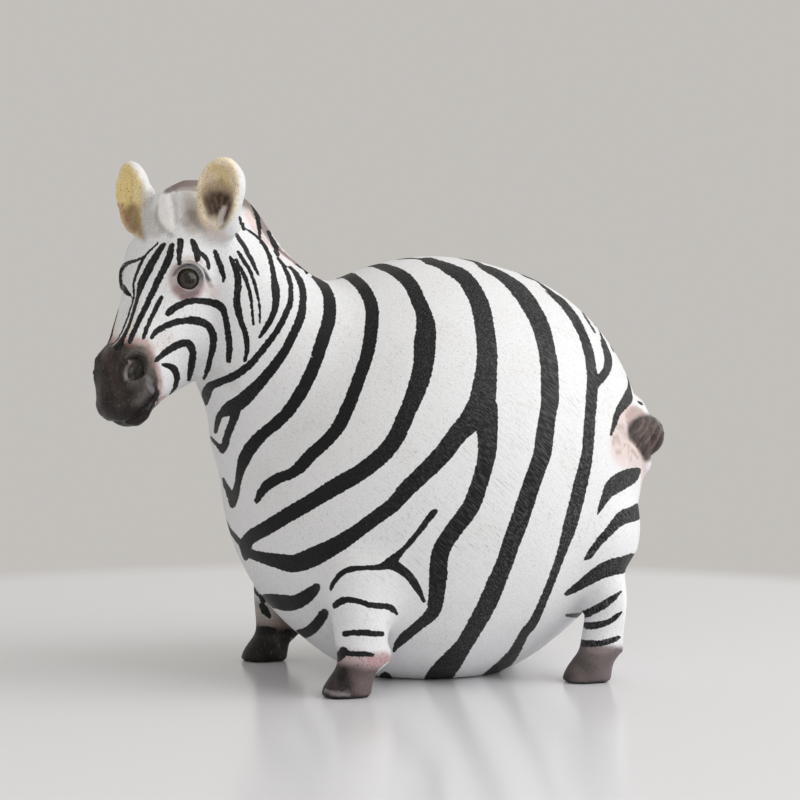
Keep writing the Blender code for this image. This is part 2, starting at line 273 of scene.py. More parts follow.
def carried_on(stroke, towards, pull=0.12, step=1.5 * MM, limit=40, taper=1.0):
    """A stroke led on over the skin from its last row, bending towards a direction, to the middle plane.

    Its last rows are made as broad as the part that follows, which is near the stroke's usual breadth.
    """
    rows = list(stroke.copy())
    place = Vector(stroke[-1][:3])
    back = Vector(stroke[max(len(stroke) - 5, 0)][:3])
    heading = (place - back).normalized()
    usual = np.median(stroke[:, 6])
    half = np.clip(stroke[-10:, 6].max(), 0.6 * usual, 1.1 * usual)
    for row in rows[-8:]:
        row[6] = max(row[6], half)
    for _ in range(limit):
        if place.y >= 0:
            break
        heading = (heading + Vector(towards) * pull).normalized()
        spot, normal, _, _ = skin.find_nearest(place + heading * step)
        heading = (spot - place).normalized()
        place = spot
        half *= taper
        rows.append((*place, *normal, half, np.nan, np.nan, np.nan))
    return np.array(rows)


def in_view(spot, outward):
    """Whether the photograph shows this spot of the skin."""
    sight = camera_place - spot
    if outward.dot(sight) <= 0:
        return False
    return skin.ray_cast(spot + outward * CLEAR_OF_SKIN, sight)[0] is None


def twin(stroke, origin, normal, hidden_only=True):
    """The stroke's mirror image in a plane, laid back on the skin.

    Where the two sides differ, a row on the flank of its form is laid on straight from the side. Rows that
    miss the skin are left out, and so are those that the photograph would show.
    """
    rows = []
    for row in stroke:
        place, facing = Vector(row[:3]), Vector(row[3:6])
        mirrored = place - 2 * (place - origin).dot(normal) * normal
        facing = facing - 2 * facing.dot(normal) * normal
        far = normal * math.copysign(1, (mirrored - origin).dot(normal))
        spot, outward, _, distance = skin.find_nearest(mirrored)
        if distance > TWIN_NEAR and facing.dot(far) > 0.4:
            spot, outward, _, _ = skin.ray_cast(mirrored + far * 40 * MM, -far, 60 * MM)
        elif distance > TWIN_LIMIT:
            continue
        if spot is not None and not (hidden_only and in_view(spot, outward)):
            rows.append((*spot, *outward, row[6], np.nan, np.nan, np.nan))
    return np.array(rows)


def depth_in(stroke, places, normals, reach):
    """How far inside a stroke's edge each place lies, in metres, less than nothing outside it."""
    depth = np.full(len(places), -reach)
    if len(stroke) < 2:
        return depth
    margin = reach + stroke[:, 6].max()
    low, high = stroke[:, :3].min(0) - margin, stroke[:, :3].max(0) + margin
    near = np.nonzero(np.all((places > low) & (places < high), axis=1))[0]
    if not len(near):
        return depth
    spots = places[near]
    best = np.full(len(near), -reach)
    facing = np.full(len(near), 1.0)
    for a, b in zip(stroke, stroke[1:]):
        if np.linalg.norm(b[:3] - a[:3]) > GAP:
            continue
        line = b[:3] - a[:3]
        share = np.clip((spots - a[:3]) @ line / max(line @ line, 1e-12), 0, 1)
        distance = np.linalg.norm(spots - a[:3] - share[:, None] * line, axis=1)
        inside = a[6] + share * (b[6] - a[6]) - distance
        closer = inside > best
        best[closer] = inside[closer]
        facing[closer] = (normals[near] @ a[3:6])[closer]
    best[facing < 0] = -reach
    depth[near] = best
    return depth


# Stripes of the left side, from the neck to the rump: pixels across and down, and breadths. The lists after
# them name those that go on out of view, those without a twin, and those laid only where they show.
STRIPES = {
    "neck_a": [(245.8, 228.8, 2), (255.8, 235.8, 3), (263.8, 244.8, 4), (268.8, 254.8, 4.5),
               (272.2, 266.8, 5), (273.8, 278.8, 6.5), (275.8, 290.8, 8.5), (275.8, 302.8, 7),
               (273.8, 312.8, 6.5), (268.8, 322.8, 6), (263.8, 330.8, 5), (259.8, 337.4, 3)],
    "neck_b": [(277.2, 257.2, 2), (282.2, 263.5, 4), (286, 271, 4.5), (289.8, 281, 5), (291, 291, 5),
               (290, 303.5, 6), (286, 313.5, 6.5), (279.8, 326, 6.5), (273.5, 336, 6.5), (263.5, 348.5, 7),
               (253.5, 361, 7), (243.5, 369.8, 8), (231, 377.5, 8), (218.5, 382.5, 8), (209.5, 387, 9),
               (206.5, 394, 10), (205, 403, 6)],
    "neck_c": [(288.5, 266, 2), (294.8, 272.2, 5), (299.8, 281, 6.5), (302.8, 291, 7), (302.8, 303.5, 7.5),
               (301, 316, 9), (296, 328.5, 9), (291, 338.5, 9), (284.8, 351, 9.5), (276, 363.5, 10),
               (266, 376, 10.5), (256, 387.2, 12), (247.2, 396, 14), (238.5, 403.5, 15), (231, 407.2, 14),
               (226, 411, 12)],
    "neck_c_front": [(226, 410, 10), (219.8, 416, 7), (217.2, 423.5, 5.5), (215.5, 432.2, 3.5)],
    "neck_c_back": [(236, 408, 10), (234.8, 416, 9), (231, 426, 8), (227.2, 436, 7.5), (224.8, 444.8, 8),
                    (222.2, 451, 6)],
    "neck_c_far": [(222.2, 451.5, 5), (219.8, 447.2, 5), (214.8, 442.2, 4), (211, 437.2, 2)],
    "chest_a": [(316, 278.5, 6), (323.5, 286, 9), (328.5, 296, 11.5), (329.8, 308.5, 13),
                (328.5, 321, 13.5), (324.8, 333.5, 13.5), (319.8, 348.5, 13.5), (314.8, 363.5, 13),
                (307.2, 381, 13), (298.5, 396, 13), (288.5, 411, 12.5), (276, 423.5, 12), (266, 431.5, 12),
                (256, 441, 13), (248.5, 451, 13), (243.5, 461, 12), (239.8, 473.5, 8), (237.2, 486, 7),
                (234.5, 496, 9), (232.3, 504.8, 7)],
    "chest_a_far": [(232, 500, 8), (229.8, 493.5, 7), (226, 486, 5), (223, 478.5, 2.5)],
    "chest_b": [(340, 275, 5), (348, 276, 8), (355.5, 280.5, 10.5), (362.2, 287, 12), (368.5, 297.2, 13),
                (372.2, 311, 13.5), (371.5, 326, 13.5), (369.8, 341, 13.5), (366, 358.5, 13),
                (359.8, 376, 13), (353.5, 393.5, 13), (347.2, 408.5, 13.5), (341, 422.2, 13.5),
                (332.2, 434.8, 13), (321, 446, 13), (309.8, 456, 13), (301, 466, 12.5), (291, 473.5, 11),
                (281, 477.2, 11), (269.8, 483.5, 11), (262.2, 491, 9), (257.2, 499.8, 6), (256.3, 502, 4)],
    "chest_c": [(378.5, 265.5, 7), (391, 269.8, 9), (403.5, 277.2, 13), (412.2, 287.2, 14),
                (418.5, 301, 15), (423.5, 313.5, 16), (426, 328.5, 20), (424.8, 343.5, 22),
                (424, 358.5, 21), (421, 376, 20), (416, 391, 19), (409.8, 406, 17), (403.5, 421, 17),
                (396, 437.2, 17), (386, 451, 17), (373.5, 462.2, 17), (358.5, 473.5, 17), (341, 483.5, 17),
                (325, 493, 16.5), (310.7, 502, 15.5), (294, 511.5, 15.5), (277.3, 521.5, 15),
                (264, 529.5, 14.5), (254, 535, 14), (248.2, 540, 13), (246, 546.5, 12), (246, 553, 9),
                (245.7, 559, 4)],
    "chest_c_far": [(243, 548, 6), (241.5, 544, 6), (235.7, 537.3, 5), (229, 529, 4), (225.3, 519, 2)],
    "flank_a": [(426, 259.8, 8), (438.5, 263.5, 9), (451, 269.8, 12), (463.5, 277.2, 15),
                (472.2, 288.5, 17), (478.5, 301, 18), (482.2, 313.5, 19), (484.8, 328.5, 19),
                (486.5, 343.5, 20), (487.2, 358.5, 21), (486, 373.5, 22), (484.2, 388.5, 25),
                (482.2, 403.5, 27), (479, 415, 27)],
    "flank_a_front": [(478, 408, 24), (469, 422, 22), (456, 436, 19), (446, 449.8, 19), (433.5, 463.5, 18),
                      (418.5, 478, 17.5), (406, 490, 16.5), (394, 504, 15), (377.3, 516.5, 14.5),
                      (360.7, 529, 14.5), (344, 540.5, 16), (327.3, 550, 18), (310.7, 558, 19.5),
                      (294, 563.5, 18), (277.3, 561, 15), (260.7, 557, 11), (250.7, 554, 9)],
    "flank_a_back": [(485, 408, 26), (486.5, 423.5, 23), (487.5, 436, 20), (487.2, 451, 19),
                     (484.5, 466, 17), (479, 485, 17), (471.8, 504.8, 17.5), (463.8, 516.8, 17.5),
                     (455.2, 528, 17), (447.5, 539, 17), (441.8, 549, 17.5), (439, 560, 18),
                     (438.2, 575.7, 18), (436.7, 592.3, 17), (435.2, 605.7, 15), (430.7, 614.8, 13),
                     (422.3, 622.3, 11), (412.3, 630.7, 10.5), (403.2, 638.2, 10), (397.3, 644.8, 7),
                     (394, 650.7, 3)],
    "flank_b": [(463.5, 257.8, 6), (476, 262.2, 8), (488.5, 268.5, 9), (501, 274.8, 11), (513.5, 284.8, 14),
                (523.5, 296, 16), (531, 307.2, 17), (537.2, 318.5, 17), (542.2, 331, 17.5), (546, 346, 17),
                (549, 363.5, 17.5), (549.8, 381, 18), (549.8, 401, 18), (547.2, 418.5, 17),
                (544.8, 436, 18), (542.2, 453.5, 18), (537.2, 468.5, 17.5), (531, 486, 17.5),
                (524.8, 504.8, 18), (518, 524.8, 18), (510.6, 544.8, 17.5), (503.8, 564.8, 17),
                (495.4, 584.8, 18.5), (486.8, 604.8, 18.5), (475.8, 624.8, 17.5), (463.8, 644.8, 16.5),
                (454, 657, 19), (442.3, 669, 22), (436, 677, 24)],
    "rump_a": [(523.5, 272.2, 5), (538.5, 282.2, 7), (553.5, 293.5, 8.5), (566, 306, 9), (576, 321, 9),
               (583.5, 336, 9), (588.5, 351, 10), (591, 366, 10), (592.5, 381, 11), (591.5, 398.5, 11.5),
               (589.8, 418.5, 11.5), (588.5, 438.5, 11.5), (586.5, 458.5, 12), (581.5, 480, 14),
               (576, 503, 14), (570.4, 524.8, 14), (564.2, 544.8, 10.5), (558.8, 560.8, 8.5),
               (551.4, 580.8, 8), (543.2, 600.8, 8), (534.2, 620.8, 9), (524.2, 633.8, 9.5),
               (515.8, 648.8, 10), (505.8, 659.8, 11), (491.8, 670.8, 11.5), (480.8, 677.8, 10)],
    "rump_a_fork": [(594, 324, 2), (600, 332, 4), (604, 343, 6), (608, 356, 8), (607.2, 368.5, 8.5),
                    (601, 378.5, 8.5), (593, 386, 8)],
    "rump_a_back": [(606, 371, 8), (600, 379, 8.5), (593, 386, 8)],
    "rump_a_line": [(576, 304, 1), (580, 308, 1.4), (586, 318, 1.8), (594.8, 332.2, 2.6)],
    "rump_b": [(629.3, 384, 4), (629.8, 390, 7), (627.4, 398.8, 11), (621.8, 406.8, 9), (616.8, 414.8, 6.5),
               (614.2, 424.8, 5), (610.8, 434.8, 3)],
    "rump_b_dot": [(638, 402, 2.5), (641.5, 403.5, 4)],
    "rump_c": [(638, 470.5, 6), (631.5, 475.5, 15), (621.5, 480.8, 18), (613, 486.8, 16),
               (606.8, 494.8, 10), (601.8, 504.8, 6), (597.8, 513.8, 2)],
    "rump_d": [(641, 509.5, 15), (632.8, 514, 15), (623.8, 517, 14), (615.8, 523.8, 11), (606.8, 533.8, 9),
               (597.8, 543.8, 8), (589.8, 554.8, 7), (585.8, 558.8, 4)],
    "rump_e": [(632, 560.5, 15), (623.8, 564.8, 17), (613.8, 566.8, 17), (602.8, 570.8, 15),
               (592.8, 576.4, 13), (582.8, 583.2, 10), (572.8, 589.8, 7), (565.8, 593.8, 4)],
    "hock_a": [(620.8, 591.8, 2), (614.8, 596.8, 5), (606.8, 602.8, 7.5), (596.8, 608.8, 8),
               (586.8, 613.4, 8), (576.8, 615.4, 5), (566.8, 615.2, 3)],
    "hock_b": [(621.8, 611.8, 2), (615.8, 616.8, 5), (608.8, 621.8, 6), (598.8, 624.8, 7),
               (588.8, 625.8, 7.5), (582.8, 624.2, 4)],
    "hock_c": [(618.4, 637.8, 4), (610.8, 640.8, 6), (600.8, 643.2, 6), (590.8, 643.8, 7), (581.5, 642.8, 7)],
    "fore_a": [(330.7, 589, 4), (334, 582.3, 5), (340.7, 574, 5.5), (349, 569.8, 6), (359, 568.2, 5.5),
               (369, 567.7, 5), (379, 567.3, 6), (387.3, 564, 9), (394, 559, 9), (402.3, 550.7, 5.5),
               (410.7, 541.5, 5.5), (419, 531.5, 5.5), (425.7, 522.3, 6), (432.3, 514, 7), (434.8, 511.5, 6)],
    "fore_a_back": [(390, 563, 12), (400.7, 569, 10), (409, 575.7, 9), (414.8, 584, 8), (419.8, 592.3, 6),
                    (423.7, 601.5, 3)],
    "fore_b": [(334.8, 605.7, 6), (340.7, 601.5, 7.5), (349, 599.8, 6), (359, 601.5, 6), (369, 604.8, 6),
               (379, 605.7, 6), (387.3, 606.5, 6), (393.2, 609.8, 6), (396.5, 613.7, 3)],
    "fore_c": [(344.8, 634, 6), (354, 632.8, 6), (364, 632.8, 6.5), (374, 633.5, 6), (382.3, 634, 5)],
    "fore_d": [(342.3, 649.8, 6), (347.3, 653.2, 5.5), (357.3, 654, 5.5), (365.7, 654, 5.5),
               (372.3, 655.2, 4)],
    "chest_d": [(260.7, 596.5, 5), (267.3, 599.8, 12), (277.3, 601.5, 15), (287.3, 603.2, 16),
                (295.7, 602.3, 15), (304, 598.2, 14), (311.5, 592.3, 12), (316.5, 587.3, 8)],
    "chest_d_far": [(258, 595, 3), (250.7, 584, 2.4), (244, 574, 2), (239, 564, 1)],
    "chest_e": [(286, 631.5, 5), (294, 633.7, 8), (302.3, 633.7, 10), (310.7, 629.8, 11),
                (318.2, 622.3, 10.5), (323.2, 614.8, 10), (325.7, 611.5, 6)],
    "belly": [(378, 676, 4), (385, 672, 8), (390, 677, 8)],
    "far_leg_a": [(262, 605, 6), (265, 611, 8), (270, 617, 3)],
    "far_leg_b": [(258, 631, 9), (266, 631, 10), (273, 631, 7)],
    # Painted shade: a dark wedge in the gap between the chest and the near fore leg.
    "fore_leg_gap_shade": [(344, 651, 8), (340, 656, 9), (335, 660, 6)],
}
OVER_THE_BACK = ("chest_b", "chest_c", "flank_a", "flank_b", "rump_a", "rump_a_back", "rump_b", "chest_a",
                 "neck_c")
UNDER_THE_BELLY = ("flank_b", "rump_a", "belly")
ROUND_THE_RUMP = ("rump_d", "rump_e")
NEAR_ONLY = ("neck_c_far", "chest_a_far", "chest_c_far", "chest_d_far", "far_leg_a", "far_leg_b",
             "fore_leg_gap_shade", "rump_a_fork", "rump_a_line", "rump_b_dot")
HAIRLINES = ("rump_a_line",)

# Stripes of the face, the left side of the head, and of the mane.
FACE_STRIPES = {
    "nose_a": [(157.8, 243.2, 1.2), (147.8, 252.8, 1.6), (142.2, 260.8, 2.4), (138.0, 270, 3),
               (135.6, 276.8, 2.6), (132.6, 286.8, 2), (129.8, 296.8, 1.6), (126.6, 308.8, 1.6),
               (122.4, 320.8, 1.6), (116.8, 332.8, 1.8), (110.4, 343, 2.2)],
    "nose_b": [(163.8, 244.5, 4), (159.8, 250, 5.5), (153.8, 259.8, 7), (147.8, 270.8, 8),
               (142.8, 280.8, 7.5), (137.8, 292.8, 6), (134.2, 302.8, 6), (130.8, 314.8, 5),
               (126.8, 326.8, 5), (121.8, 338.8, 6), (117.8, 346.8, 8)],
    "nose_c": [(171.8, 245, 5), (170.8, 250.8, 6.5), (168.8, 258.8, 7), (163.8, 268.8, 6.5),
               (158.8, 278.8, 6.5), (154.2, 288.8, 6), (149.8, 297.8, 5.5), (144.8, 308.8, 5.5),
               (139.8, 318.8, 5.5), (135.4, 328.8, 5), (131.8, 336.8, 5), (129.8, 341.8, 4)],
    "nose_d": [(161.2, 297.8, 4), (158.8, 302.8, 5), (154.8, 310.8, 4.5), (149.8, 320.8, 4),
               (145.8, 330.8, 4), (143.4, 337.8, 3.5)],
    "brow_a": [(180.8, 241, 6.5), (180.2, 246.8, 6), (179.2, 254.8, 5), (179.4, 263.8, 3.6)],
    "brow_b": [(192.8, 241.4, 5.5), (194.8, 246.8, 6.5), (196.8, 253.8, 6.5), (197.8, 259.4, 4.5)],
    "brow_b_fork": [(197.8, 251.8, 3), (203.8, 255.8, 4), (207.8, 261.8, 4), (208.8, 267.8, 3)],
    "brow_c": [(214.8, 251.8, 4), (217.8, 258.8, 5.5), (221.4, 268.8, 5.5), (223.8, 276.8, 4),
               (223.4, 281.4, 2)],
    "jaw_a": [(230.2, 257.8, 3), (232.8, 262.8, 4.5), (236.8, 272.8, 6), (238.2, 282.8, 7),
              (237.4, 292.8, 6.5), (236.8, 302.8, 7), (238.8, 312.8, 7), (240.8, 320.8, 5.5),
              (244.8, 330.8, 5), (246.8, 340.8, 5), (246.8, 350.8, 4.5), (244.8, 360.8, 3)],
    "jaw_b": [(235.8, 259.8, 2.5), (240.8, 268.8, 3.5), (245.8, 278.8, 4), (248.8, 288.8, 4),
              (250.8, 298.8, 3), (252.2, 310.8, 2.5), (253.4, 324.8, 2)],
    "jaw_c": [(238.2, 251.8, 2.5), (243.8, 260.8, 3.5), (249.8, 270.8, 3.5), (254.2, 282.8, 3),
              (257.4, 294.8, 2.5), (259.8, 308.8, 2), (259.8, 322.8, 1.5)],
    "jaw_d": [(236.8, 234.8, 3.4), (241.8, 242.8, 4), (247.8, 252.8, 4), (252.8, 262.8, 4),
              (256.8, 271.8, 2.5), (258.8, 274.8, 1.5)],
    "ear_root": [(239.8, 217.5, 2), (241.5, 223, 4.5), (243.8, 229, 3.5)],
    "cheek_a": [(167.8, 313.2, 6), (171.8, 310, 7), (178.8, 305.5, 6.5), (187.8, 301.8, 6),
                (197.8, 300.8, 5.5), (207.8, 301.8, 6.5), (215.8, 303.8, 7.5), (221.8, 307.8, 7.5),
                (224.8, 314.8, 6), (226.8, 324.8, 6), (228.4, 334.8, 6), (229.2, 344.8, 6),
                (229.2, 354.8, 6), (228.4, 360.8, 5)],
    "cheek_b": [(151.8, 337.3, 3.5), (155.8, 331.8, 5), (163.8, 326.8, 5.5), (173.8, 322.8, 6),
                (183.8, 320.8, 6.5), (193.8, 320.4, 8), (202.8, 322.8, 7.5), (209.8, 327.8, 7),
                (213.4, 336.8, 7), (212.8, 346.8, 6.5), (210.8, 356.8, 5.5), (208.2, 366.8, 5),
                (205.8, 374.8, 3.5), (203.8, 378.8, 2)],
    "cheek_c": [(155.8, 360.8, 3.5), (159.8, 356.8, 5), (167.8, 350.8, 6.5), (175.8, 345.8, 7),
                (183.8, 342.8, 7), (189.8, 344.8, 7.5), (192.8, 352.8, 7), (191.8, 362.8, 7),
                (190.4, 372.8, 5.5), (188.8, 379.8, 3)],
    "cheek_d": [(162.8, 364.8, 3), (167.8, 365.8, 5), (173.8, 368.8, 6.5), (176.8, 376.8, 6),
                (175.8, 384.8, 4.5), (172.8, 390.8, 2.5), (169.8, 394.8, 1)],
}
FAR_EYE = {
    "far_brow": [(157.8, 243.2, 1.5), (149.8, 250.8, 1.5), (143.8, 256.8, 2), (135.8, 260.4, 2.5),
                 (128.8, 262.8, 3.5), (122.8, 266.8, 4), (119.8, 272.8, 4), (120.4, 278.8, 3),
                 (121.6, 283.8, 2.5), (124, 287.8, 4), (126, 292.8, 3.5), (127.8, 294.8, 2)],
}
MANE_STRIPES = {
    "crest_a": [(252.8, 203.8, 5), (256.8, 212.8, 5), (258.8, 222.8, 4), (259.8, 232.8, 4),
                (259.8, 238.8, 2.5)],
    "crest_b": [(268.8, 231.8, 4), (273.8, 240.8, 6), (275.8, 248.8, 6), (277.5, 254.8, 4)],
    "crest_c": [(298.5, 263.5, 4), (303, 267.5, 5), (307.5, 272, 4)],
}

HEAD_MIDDLE = Vector(HEAD_PLACE)
SIDEWAYS = Vector((0, 1, 0))
STRIPE_REACH = 5 * MM

BROADER = 0.5
MIDDLE = Vector((0, 0, 0))
strokes = []
for name, rows in STRIPES.items():
    stroke = stroke_of(rows)
    if name in HAIRLINES:
        stroke[:, 6] = 0
    if name in OVER_THE_BACK:
        stroke = carried_on(stroke[::-1], SIDEWAYS, taper=0.98)[::-1]
    if name in UNDER_THE_BELLY:
        stroke = carried_on(stroke, SIDEWAYS, pull=0.3)
    if name in ROUND_THE_RUMP:
        stroke = carried_on(stroke[::-1], SIDEWAYS, pull=0.05, taper=0.985)[::-1]
    strokes.append(stroke)
    if name not in NEAR_ONLY:
        strokes.append(twin(stroke, MIDDLE, SIDEWAYS))
for rows in FACE_STRIPES.values():
    stroke = stroke_of(rows, BROADER)
    strokes.append(stroke)
    strokes.append(twin(stroke, HEAD_MIDDLE, LEFT))
for rows in FAR_EYE.values():
    strokes.append(stroke_of(rows, BROADER))
for rows in MANE_STRIPES.values():
    stroke = stroke_of(rows)
    strokes.append(stroke)
    strokes.append(twin(stroke, MIDDLE, SIDEWAYS))

# The skin is cut finer where a stripe ends in a large face, where a stroke is thin,
# and where the eyes, the nostrils, the mouth and the tail are carved.
THIN_HALF = 1.3 * MM
HAIR_HALF = 0.9 * MM
EDGE_FACE, THIN_FACE, HAIR_FACE = 1.3 * MM, 1.0 * MM, 0.62 * MM
EDGE_REACH, EDGE_BAND = 2.0 * MM, 1.2 * MM
THIN_REACH, THIN_BAND = 1.2 * MM, 0.7 * MM
PIT_REACH, PIT_BAND = 2.4 * MM, 1.8 * MM
LONGEST_SHARE = 1.35
EYE_PLACE = (21.1, 2.2, 13.9)
EYE_RADIUS = 4.7 * MM
EYE_SUNK = 1.7 * MM
EYE_REACH = 8.0 * MM
SOCKET = 4.2 * MM
TAIL_TIP = np.array(seen_near(640, 434)[0])
TAIL_REACH = 11 * MM
NOSTRIL_PIT = [(131, 359, 3), (135.5, 357, 5), (140.5, 361.5, 7), (140.5, 369, 7.5), (135.5, 375, 5),
               (131, 377, 3)]
MOUTH_LINE = [(127, 422, 1.6), (134, 417.5, 2.2), (142, 412, 2.4), (149, 404.5, 2.4), (154.5, 397, 2.4),
              (157.5, 391, 1.6)]


def eye_middle(side):
    """Where an eye is set in the head, the left one for side 1 and the right one for -1."""
    return on_head(EYE_PLACE[0], EYE_PLACE[1], EYE_PLACE[2] * side)


def eye_facing(side):
    """The way that an eye looks, out of its side of the head and a little out of the brow."""
    return (LEFT * 0.86 * side + BROW * 0.5).normalized()


def both_heads(rows):
    """A stroke of the head's left side, and its twin on the other, seen or not."""
    stroke = stroke_of(rows)
    return [stroke, twin(stroke, HEAD_MIDDLE, LEFT, hidden_only=False)]


def both_flanks(rows):
    """A stroke of the body's left side, and its twin on the other, seen or not."""
    stroke = stroke_of(rows)
    return [stroke, twin(stroke, MIDDLE, SIDEWAYS, hidden_only=False)]


nostrils, mouths = both_heads(NOSTRIL_PIT), both_heads(MOUTH_LINE)
thin = [stroke[stroke[:, 6] < THIN_HALF] for stroke in strokes if len(stroke)]
thin_seen = [stroke[~np.isnan(stroke[:, 7]) & (stroke[:, 6] < HAIR_HALF)] for stroke in thin]
for breadth, everywhere, fine_strokes in ((EDGE_FACE, True, thin), (THIN_FACE, False, thin),
                                          (HAIR_FACE, False, thin_seen)):
    count = len(cast.data.polygons)
    middles, outward = np.empty(count * 3), np.empty(count * 3)
    cast.data.polygons.foreach_get("center", middles)
    cast.data.polygons.foreach_get("normal", outward)
    middles, outward = middles.reshape(-1, 3), outward.reshape(-1, 3)
    chosen = np.zeros(count, bool)
    if everywhere:
        edge = np.full(count, -EDGE_REACH)
        for stroke in strokes:
            edge = np.maximum(edge, depth_in(stroke, middles, outward, EDGE_REACH))
        chosen |= np.abs(edge) < EDGE_BAND
    for stroke in fine_strokes:
        chosen |= depth_in(stroke, middles, outward, THIN_REACH) > -THIN_BAND
    for stroke in nostrils + mouths:
        chosen |= depth_in(stroke, middles, outward, PIT_REACH) > -PIT_BAND
    for side in (1, -1):
        eye = np.array(eye_middle(side))
        chosen |= np.linalg.norm(middles - eye, axis=1) < EYE_REACH
    chosen |= np.linalg.norm(middles - TAIL_TIP, axis=1) < TAIL_REACH
    spots = vertex_places(cast)
    starts, sizes = np.empty(count, int), np.empty(count, int)
    cast.data.polygons.foreach_get("loop_start", starts)
    cast.data.polygons.foreach_get("loop_total", sizes)
    corners = np.empty(len(cast.data.loops), int)
    cast.data.loops.foreach_get("vertex_index", corners)
    longest = np.zeros(count)
    for k in range(4):
        one = spots[corners[starts + k % sizes]]
        two = spots[corners[starts + (k + 1) % sizes]]
        longest = np.maximum(longest, np.linalg.norm(one - two, axis=1))
    cut_finer(cast, chosen & (longest > breadth * LONGEST_SHARE))

# From here on no face is added, so each vertex keeps its row in every list of values.
flat, flat_normals = vertex_places(cast), vertex_normals(cast)
flat_normals = np.column_stack([eased(cast, flat_normals[:, k].copy(), 4) for k in range(3)])
flat_normals /= np.linalg.norm(flat_normals, axis=1)[:, None]
head = head_place(flat)
sights = np.array(camera_place) - flat
facing = np.einsum("ij,ij->i", flat_normals, sights) / np.linalg.norm(sights, axis=1)
shown = np.zeros(len(flat), bool)
for index in np.nonzero(facing > 0)[0]:
    shown[index] = in_view(Vector(flat[index]), Vector(flat_normals[index]))
local = -sights @ np.array(camera_turn)
pixels = PHOTO_PIXELS / 2 + FOCAL_PIXELS * local[:, :2] / -local[:, 2:] * np.array((1, -1))
PIXEL_GAP = 8
OFF_STROKE, OFF_SHARE = 9 * MM, 1.6


def depth_seen(stroke, reach):
    """How far inside a stroke's edge, as the photograph shows it, each vertex in view lies, in metres."""
    depth = np.full(len(flat), -reach)
    if len(stroke) < 2 or np.isnan(stroke[:, 7]).all():
        return depth
    drawn = stroke[~np.isnan(stroke[:, 7])]
    margin = reach / PIXEL + drawn[:, 9].max()
    low, high = drawn[:, 7:9].min(0) - margin, drawn[:, 7:9].max(0) + margin
    near = np.nonzero(shown & np.all((pixels > low) & (pixels < high), axis=1))[0]
    best = np.full(len(near), -reach)
    for a, b in zip(drawn, drawn[1:]):
        line = b[7:9] - a[7:9]
        if np.hypot(*line) > PIXEL_GAP:
            continue
        share = np.clip((pixels[near] - a[7:9]) @ line / max(line @ line, 1e-12), 0, 1)
        distance = np.linalg.norm(pixels[near] - a[7:9] - share[:, None] * line, axis=1)
        inside = (a[9] + share * (b[9] - a[9]) - distance) * PIXEL
        off = np.linalg.norm(flat[near] - a[:3] - share[:, None] * (b[:3] - a[:3]), axis=1)
        inside[off > OFF_STROKE + OFF_SHARE * a[6]] = -reach
        best = np.maximum(best, inside)
    depth[near] = best
    return depth


# The photograph is trusted less where the skin turns edge on, most of all on top.
above = np.clip(flat_normals[:, 2] * 4 + 0.5, 0, 1)
plainly = np.where(shown, np.clip((facing - 0.03 - 0.05 * above) / (0.04 + 0.16 * above), 0, 1), 0)
stripe = np.full(len(flat), -STRIPE_REACH)
for stroke in strokes:
    if not len(stroke):
        continue
    in_sight, in_place = depth_seen(stroke, STRIPE_REACH), depth_in(stroke, flat, flat_normals, STRIPE_REACH)
    trusted = plainly if stroke[:, 6].any() else shown
    stripe = np.maximum(stripe, trusted * in_sight + (1 - trusted) * in_place)


def washed(stroke, soft):
    """How strongly a soft-edged stroke of the airbrush covers each vertex, from 0 to 1."""
    share = np.clip(depth_in(stroke, flat, flat_normals, soft) / soft + 1, 0, 1)
    return share * share * (3 - 2 * share)


def masked(corners, soft=2.0, rounds=1):
    """How strongly paint covers each vertex where a mask was cut out, its corners in pixels."""
    closed = through(corners + corners[:1] + corners[1:2], 3.0)[:, :2]
    within = (pixels > closed.min(0) - soft) & (pixels < closed.max(0) + soft)
    around = np.nonzero(shown & np.all(within, axis=1))[0]
    spots = pixels[around]
    crossings = np.zeros(len(spots), int)
    apart = np.full(len(spots), 1e3)
    for (ax, ay), (bx, by) in zip(closed, np.roll(closed, -1, axis=0)):
        if ay != by:
            crossed = (spots[:, 1] < ay) != (spots[:, 1] < by)
            crossings += crossed & (spots[:, 0] < ax + (spots[:, 1] - ay) / (by - ay) * (bx - ax))
        line = np.array((bx - ax, by - ay))
        share = np.clip((spots - (ax, ay)) @ line / max(line @ line, 1e-12), 0, 1)
        apart = np.minimum(apart, np.linalg.norm(spots - (ax, ay) - share[:, None] * line, axis=1))
    inside = np.where(crossings % 2 == 1, apart, -apart)
    share = np.zeros(len(flat))
    share[around] = np.clip(inside / soft + 0.5, 0, 1)
    return eased(cast, share, rounds)


# Carving. The moulded relief that is too fine for the solid goes into the cut skin: nostrils, mouth, lips,
# forelock and ear hair. Each row has the stroke, how soft its edge is, and its height, both in millimetres.
relief = np.zeros(len(flat))


def carved(strokes, soft, height):
    """Raises the skin under soft-edged strokes by a height in millimetres, or sinks it."""
    for stroke in strokes:
        relief[:] = relief + height * MM * washed(stroke, soft * MM)


